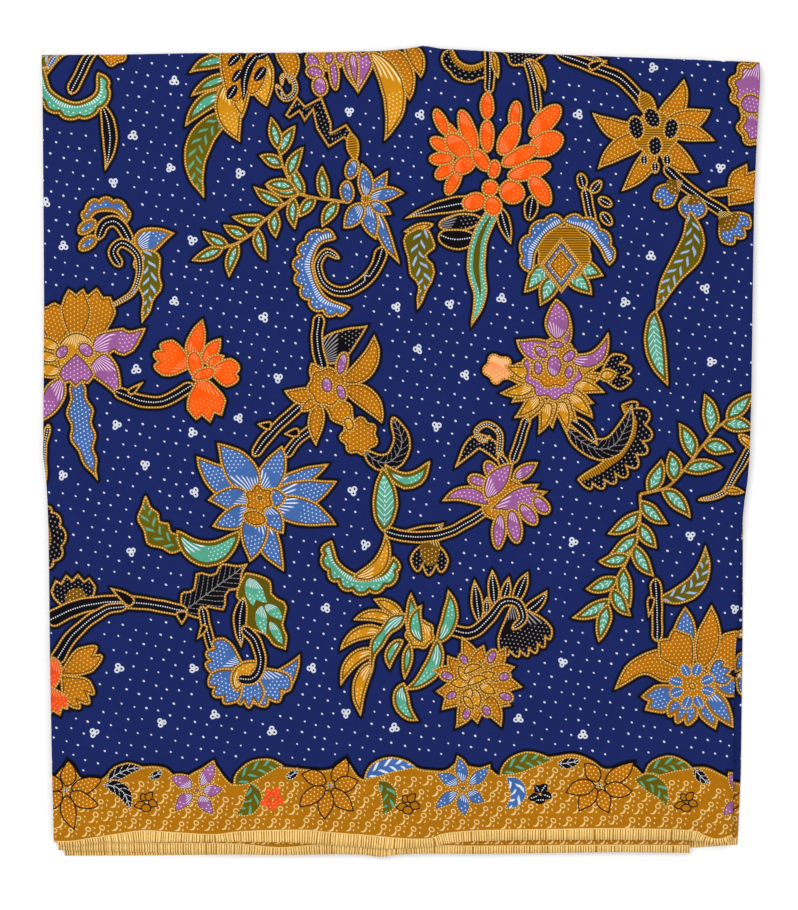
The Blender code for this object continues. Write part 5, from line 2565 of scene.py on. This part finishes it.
@dataclass(frozen=True)
class Studio:
    """A pale floor, soft light from above and a camera that looks straight down."""

    lens: float = 80.0
    sensor: float = 36.0
    picture_height: float = 910.0  # in print units, as is the picture's middle
    centre: Spot = (399.0, 455.0)
    face_height: float = 0.0075  # metres from the floor to the cloth's face
    floor_depth: float = 0.0006
    sky: float = 0.9
    lamps: tuple[tuple[str, Place, float, float], ...] = (  # name, place, side and watts
        ("key", (-0.9, 0.9, 1.9), 1.6, 18.0),
        ("fill", (1.2, -0.8, 2.0), 1.8, 5.5),
    )

    def floor(self) -> None:
        """Lays the floor, a little under the cloth so that the two never touch."""
        mesh = bpy.data.meshes.new("floor")
        mesh.from_pydata([(-6, -6, 0), (6, -6, 0), (6, 6, 0), (-6, 6, 0)], [], [(0, 1, 2, 3)])
        book = NodeBook("floor_paper")
        place = book.node("TexCoord", "Object")
        grain = book.node("TexNoise", 0, Vector=place, Scale=12.0, Detail=3.0)
        book.feed("Base Color", book.mix(grain, (0.96, 0.96, 0.96, 1), (0.98, 0.98, 0.98, 1)))
        book.shader.inputs["Roughness"].default_value = 0.9
        mesh.materials.append(book.material)
        thing = bpy.data.objects.new("floor", mesh)
        thing.location.z = -self.floor_depth
        bpy.context.scene.collection.objects.link(thing)

    def light(self, name: str, place: Place, size: float, power: float) -> None:
        """Hangs one square soft light, which faces the object.

        Args:
            name: Its name.
            place: Where it hangs, in metres.
            size: Its side.
            power: Its power in watts.
        """
        lamp = bpy.data.lights.new(name, "AREA")
        lamp.size, lamp.energy = size, power
        thing = bpy.data.objects.new(name, lamp)
        thing.location = place
        thing.rotation_mode = "QUATERNION"
        thing.rotation_quaternion = (-Vector(place)).to_track_quat("-Z", "Y")
        bpy.context.scene.collection.objects.link(thing)

    def camera(self) -> None:
        """Sets the camera over the object, square to it.

        It hangs as high as makes the picture's height fill the sensor's at the cloth's face.
        """
        lens = bpy.data.cameras.new("camera")
        lens.lens, lens.sensor_width = self.lens, self.sensor
        height = self.picture_height * UNIT * MM * self.lens / self.sensor
        thing = bpy.data.objects.new("camera", lens)
        x, y = to_plane(np.array(self.centre)) + CENTRING
        thing.location = (x * MM, y * MM, height + self.face_height)
        bpy.context.scene.collection.objects.link(thing)
        bpy.context.scene.camera = thing

    def set_up(self) -> None:
        """Makes the whole studio."""
        scene = bpy.context.scene
        scene.view_settings.view_transform = "Standard"
        scene.view_settings.look = "None"
        world = bpy.data.worlds.new("studio")
        world.use_nodes = True
        back = world.node_tree.nodes["Background"]
        back.inputs["Color"].default_value = (1, 1, 1, 1)
        back.inputs["Strength"].default_value = self.sky
        scene.world = world
        self.floor()
        for lamp in self.lamps:
            self.light(*lamp)
        self.camera()


# The sarong


@dataclass(frozen=True)
class Sarong:
    """Builds the pieces of the folded sarong."""

    stack: FoldedStack = FoldedStack()
    front_cut: Spot = (0.4875, 0.555)  # each cut in metres
    end_cut: Spot = (0.434, 0.532)
    back_cut: Spot = (0.466, 0.534)
    front_step: float = 5.6  # each step between points of bare ground in millimetres
    inside_step: float = 9.0
    panel_step: float = 12.0
    plain_step: float = 14.0

    END_CREST: ClassVar[Line] = ((10, 770), (400, 766), (790, 770))
    BACK_CREST: ClassVar[Line] = ((10, 784), (640, 780), (733, 783), (745, 788), (790, 780))

    def shell(
        self, name: str, upper: FlatPrint, lower: FlatPrint, face: Surface, edge_dye: Dye = Dye.SOGA
    ) -> Thing:
        """Makes a panel's shell of the cloth's own thickness."""
        return ClothMesh(name, self.stack.thickness).build(upper, lower, face, edge_dye)

    @staticmethod
    def whole_print() -> list[Patch]:
        """Draws the front's print.

        Returns:
            Its patches, lowest first.
        """
        under = [*FlowerField().draw().layers, *Border().draw().layers]
        patches = [*Ground(under).draw().patches, *under]
        LOG.info("%d patches", len(patches))
        return patches

    def lip_points(self) -> Array:
        """Points in rows along the front's rounded edges, which keep them round.

        Returns:
            The points.
        """
        y = np.arange(-255, 258, 3.0)
        spots = [np.stack([self.stack.side("front_left", y) + d, y], axis=1) for d in (0.25, 0.8, 1.7, 2.9)]
        x = np.arange(-237, 239, 4.0)
        middle, radius = self.stack.turn(x)
        spots += [np.stack([x, middle + radius * a], axis=1) for a in np.linspace(0, 2.9, 9)]
        return np.concatenate(spots)

    def front(self, printed: FlatPrint) -> Thing:
        """The front panel."""
        inside = PrintCutter(self.stack.front_outline(), [], self.inside_step).cut(self.lip_points()[::2])
        return self.shell("front_cloth", printed, inside, self.stack.front_face)

    def end(self) -> Thing:
        """The end panel, whose strip of hatching shows under the front's hem.

        Returns:
            The object.
        """
        border = Border()
        border.band(self.END_CREST)
        border.level_rings(np.random.default_rng(3), (60, 700, 13.0), 838, 1, 0.9)
        border.strip(Border.END_STRIP)
        patches = [p for p in border.brush.patches if p.rim[:, 1].min() < -180]
        outline = self.stack.end_outline()
        upper = PrintCutter(outline, patches, self.panel_step).cut()
        lower = PrintCutter(outline, [], self.plain_step).cut()
        return self.shell("end_cloth", upper, lower, self.stack.end_face, Dye.STRAW)

    def back_print(self) -> list[Patch]:
        """Draws what shows of the back: the motifs and dots at its edge, and its border.

        Returns:
            Its patches, lowest first.
        """
        field_brush, border = Brush(), Border()
        field_brush.petal((736, 636), (756, 632), 10, Ply.SPRIG)
        field_brush.bloom((735, 676), 26, 3, 18, Ply.BLUE_DOTS, -50, 100, Form.DROP, 0.1)
        field_brush.fern([(738, 470), (744, 520)], 1, 20, 10)
        border.band(self.BACK_CREST)
        rng = np.random.default_rng(4)
        border.level_rings(rng, (640, 750, 14.0), 796, 4, 0.95)
        bare = border.brush.bare
        bare.petal((730, 812), (748, 792), 12, Ply.ROSE)
        border.strip(Border.BACK_STRIP)
        spots = np.array([(x, y) for x in np.arange(732, 752, 12.0) for y in np.arange(440, 780, 14.0)])
        for spot in spots + rng.uniform(-3, 3, spots.shape):
            bare.disc(tuple(spot), 3, 2.6, Ply.DOT)
        return [*field_brush.layers, *border.brush.layers]

    def back(self, printed: FlatPrint) -> Thing:
        """The back panel, printed on its underside too, as wax print is, with the front's print."""
        upper = PrintCutter(self.stack.back_outline(), self.back_print(), self.panel_step).cut()
        return self.shell("back_cloth", upper, self.carried(printed), self.stack.back_face)

    def carried(self, printed: FlatPrint) -> FlatPrint:
        """The front's print fitted between the back's edges, at the same shares of its width and length.

        Args:
            printed: The front's print.

        Returns:
            The fitted print.
        """
        stack = self.stack
        x, y = printed.points.T
        fold = stack.front_outline()[stack.TOP_EDGE][::-1]
        low, high = stack.along(stack.FRONT_HEM, x), np.interp(x, *fold.T)
        t = np.clip((y - low) / (high - low), 0, 1)
        left, right = stack.side("front_left", y), stack.side("front_right", y)
        s = np.clip((x - left) / (right - left), 0, 1)
        new_low, new_high = stack.along(stack.BACK_HEM, x), stack.turn(x)[0] - stack.layer_gap
        new_y = new_low + t * (new_high - new_low)
        new_left, new_right = stack.side("back_left", new_y), stack.side("back_right", new_y)
        moved = np.stack([new_left + s * (new_right - new_left), new_y], axis=1)
        return FlatPrint(moved, printed.faces, printed.patch, printed.run, printed.patches)

    def build(self) -> None:
        """Builds, dresses and declares every piece."""
        cutter = PrintCutter(self.stack.front_outline(), self.whole_print(), self.front_step)
        printed = cutter.cut(self.lip_points())
        LOG.info("front print: %d triangles", len(printed.faces))
        cotton = BatikCotton("batik_cotton").finish()
        front, end, back = self.front(printed), self.end(), self.back(printed)
        hidden = HiddenLayers(self.stack).build("hidden_folds")
        hidden.data.materials.append(PlainCotton("navy_cotton", Dye.NAVY).finish())
        for thing in (front, end, back):
            thing.data.materials.append(cotton)
        nodes = {front: "front_panel", end: "end_panel", back: "back_panel", hidden: "hidden_layers"}
        for thing, node in nodes.items():
            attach(thing, "root")
            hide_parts(node)
            LOG.info("%s: %d triangles", thing.name, len(thing.data.polygons))


def main() -> None:
    """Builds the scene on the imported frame."""
    logging.basicConfig(level=logging.INFO, format="%(name)s: %(message)s")
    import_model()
    Sarong().build()
    Studio().set_up()


if __name__ == "__main__":
    main()
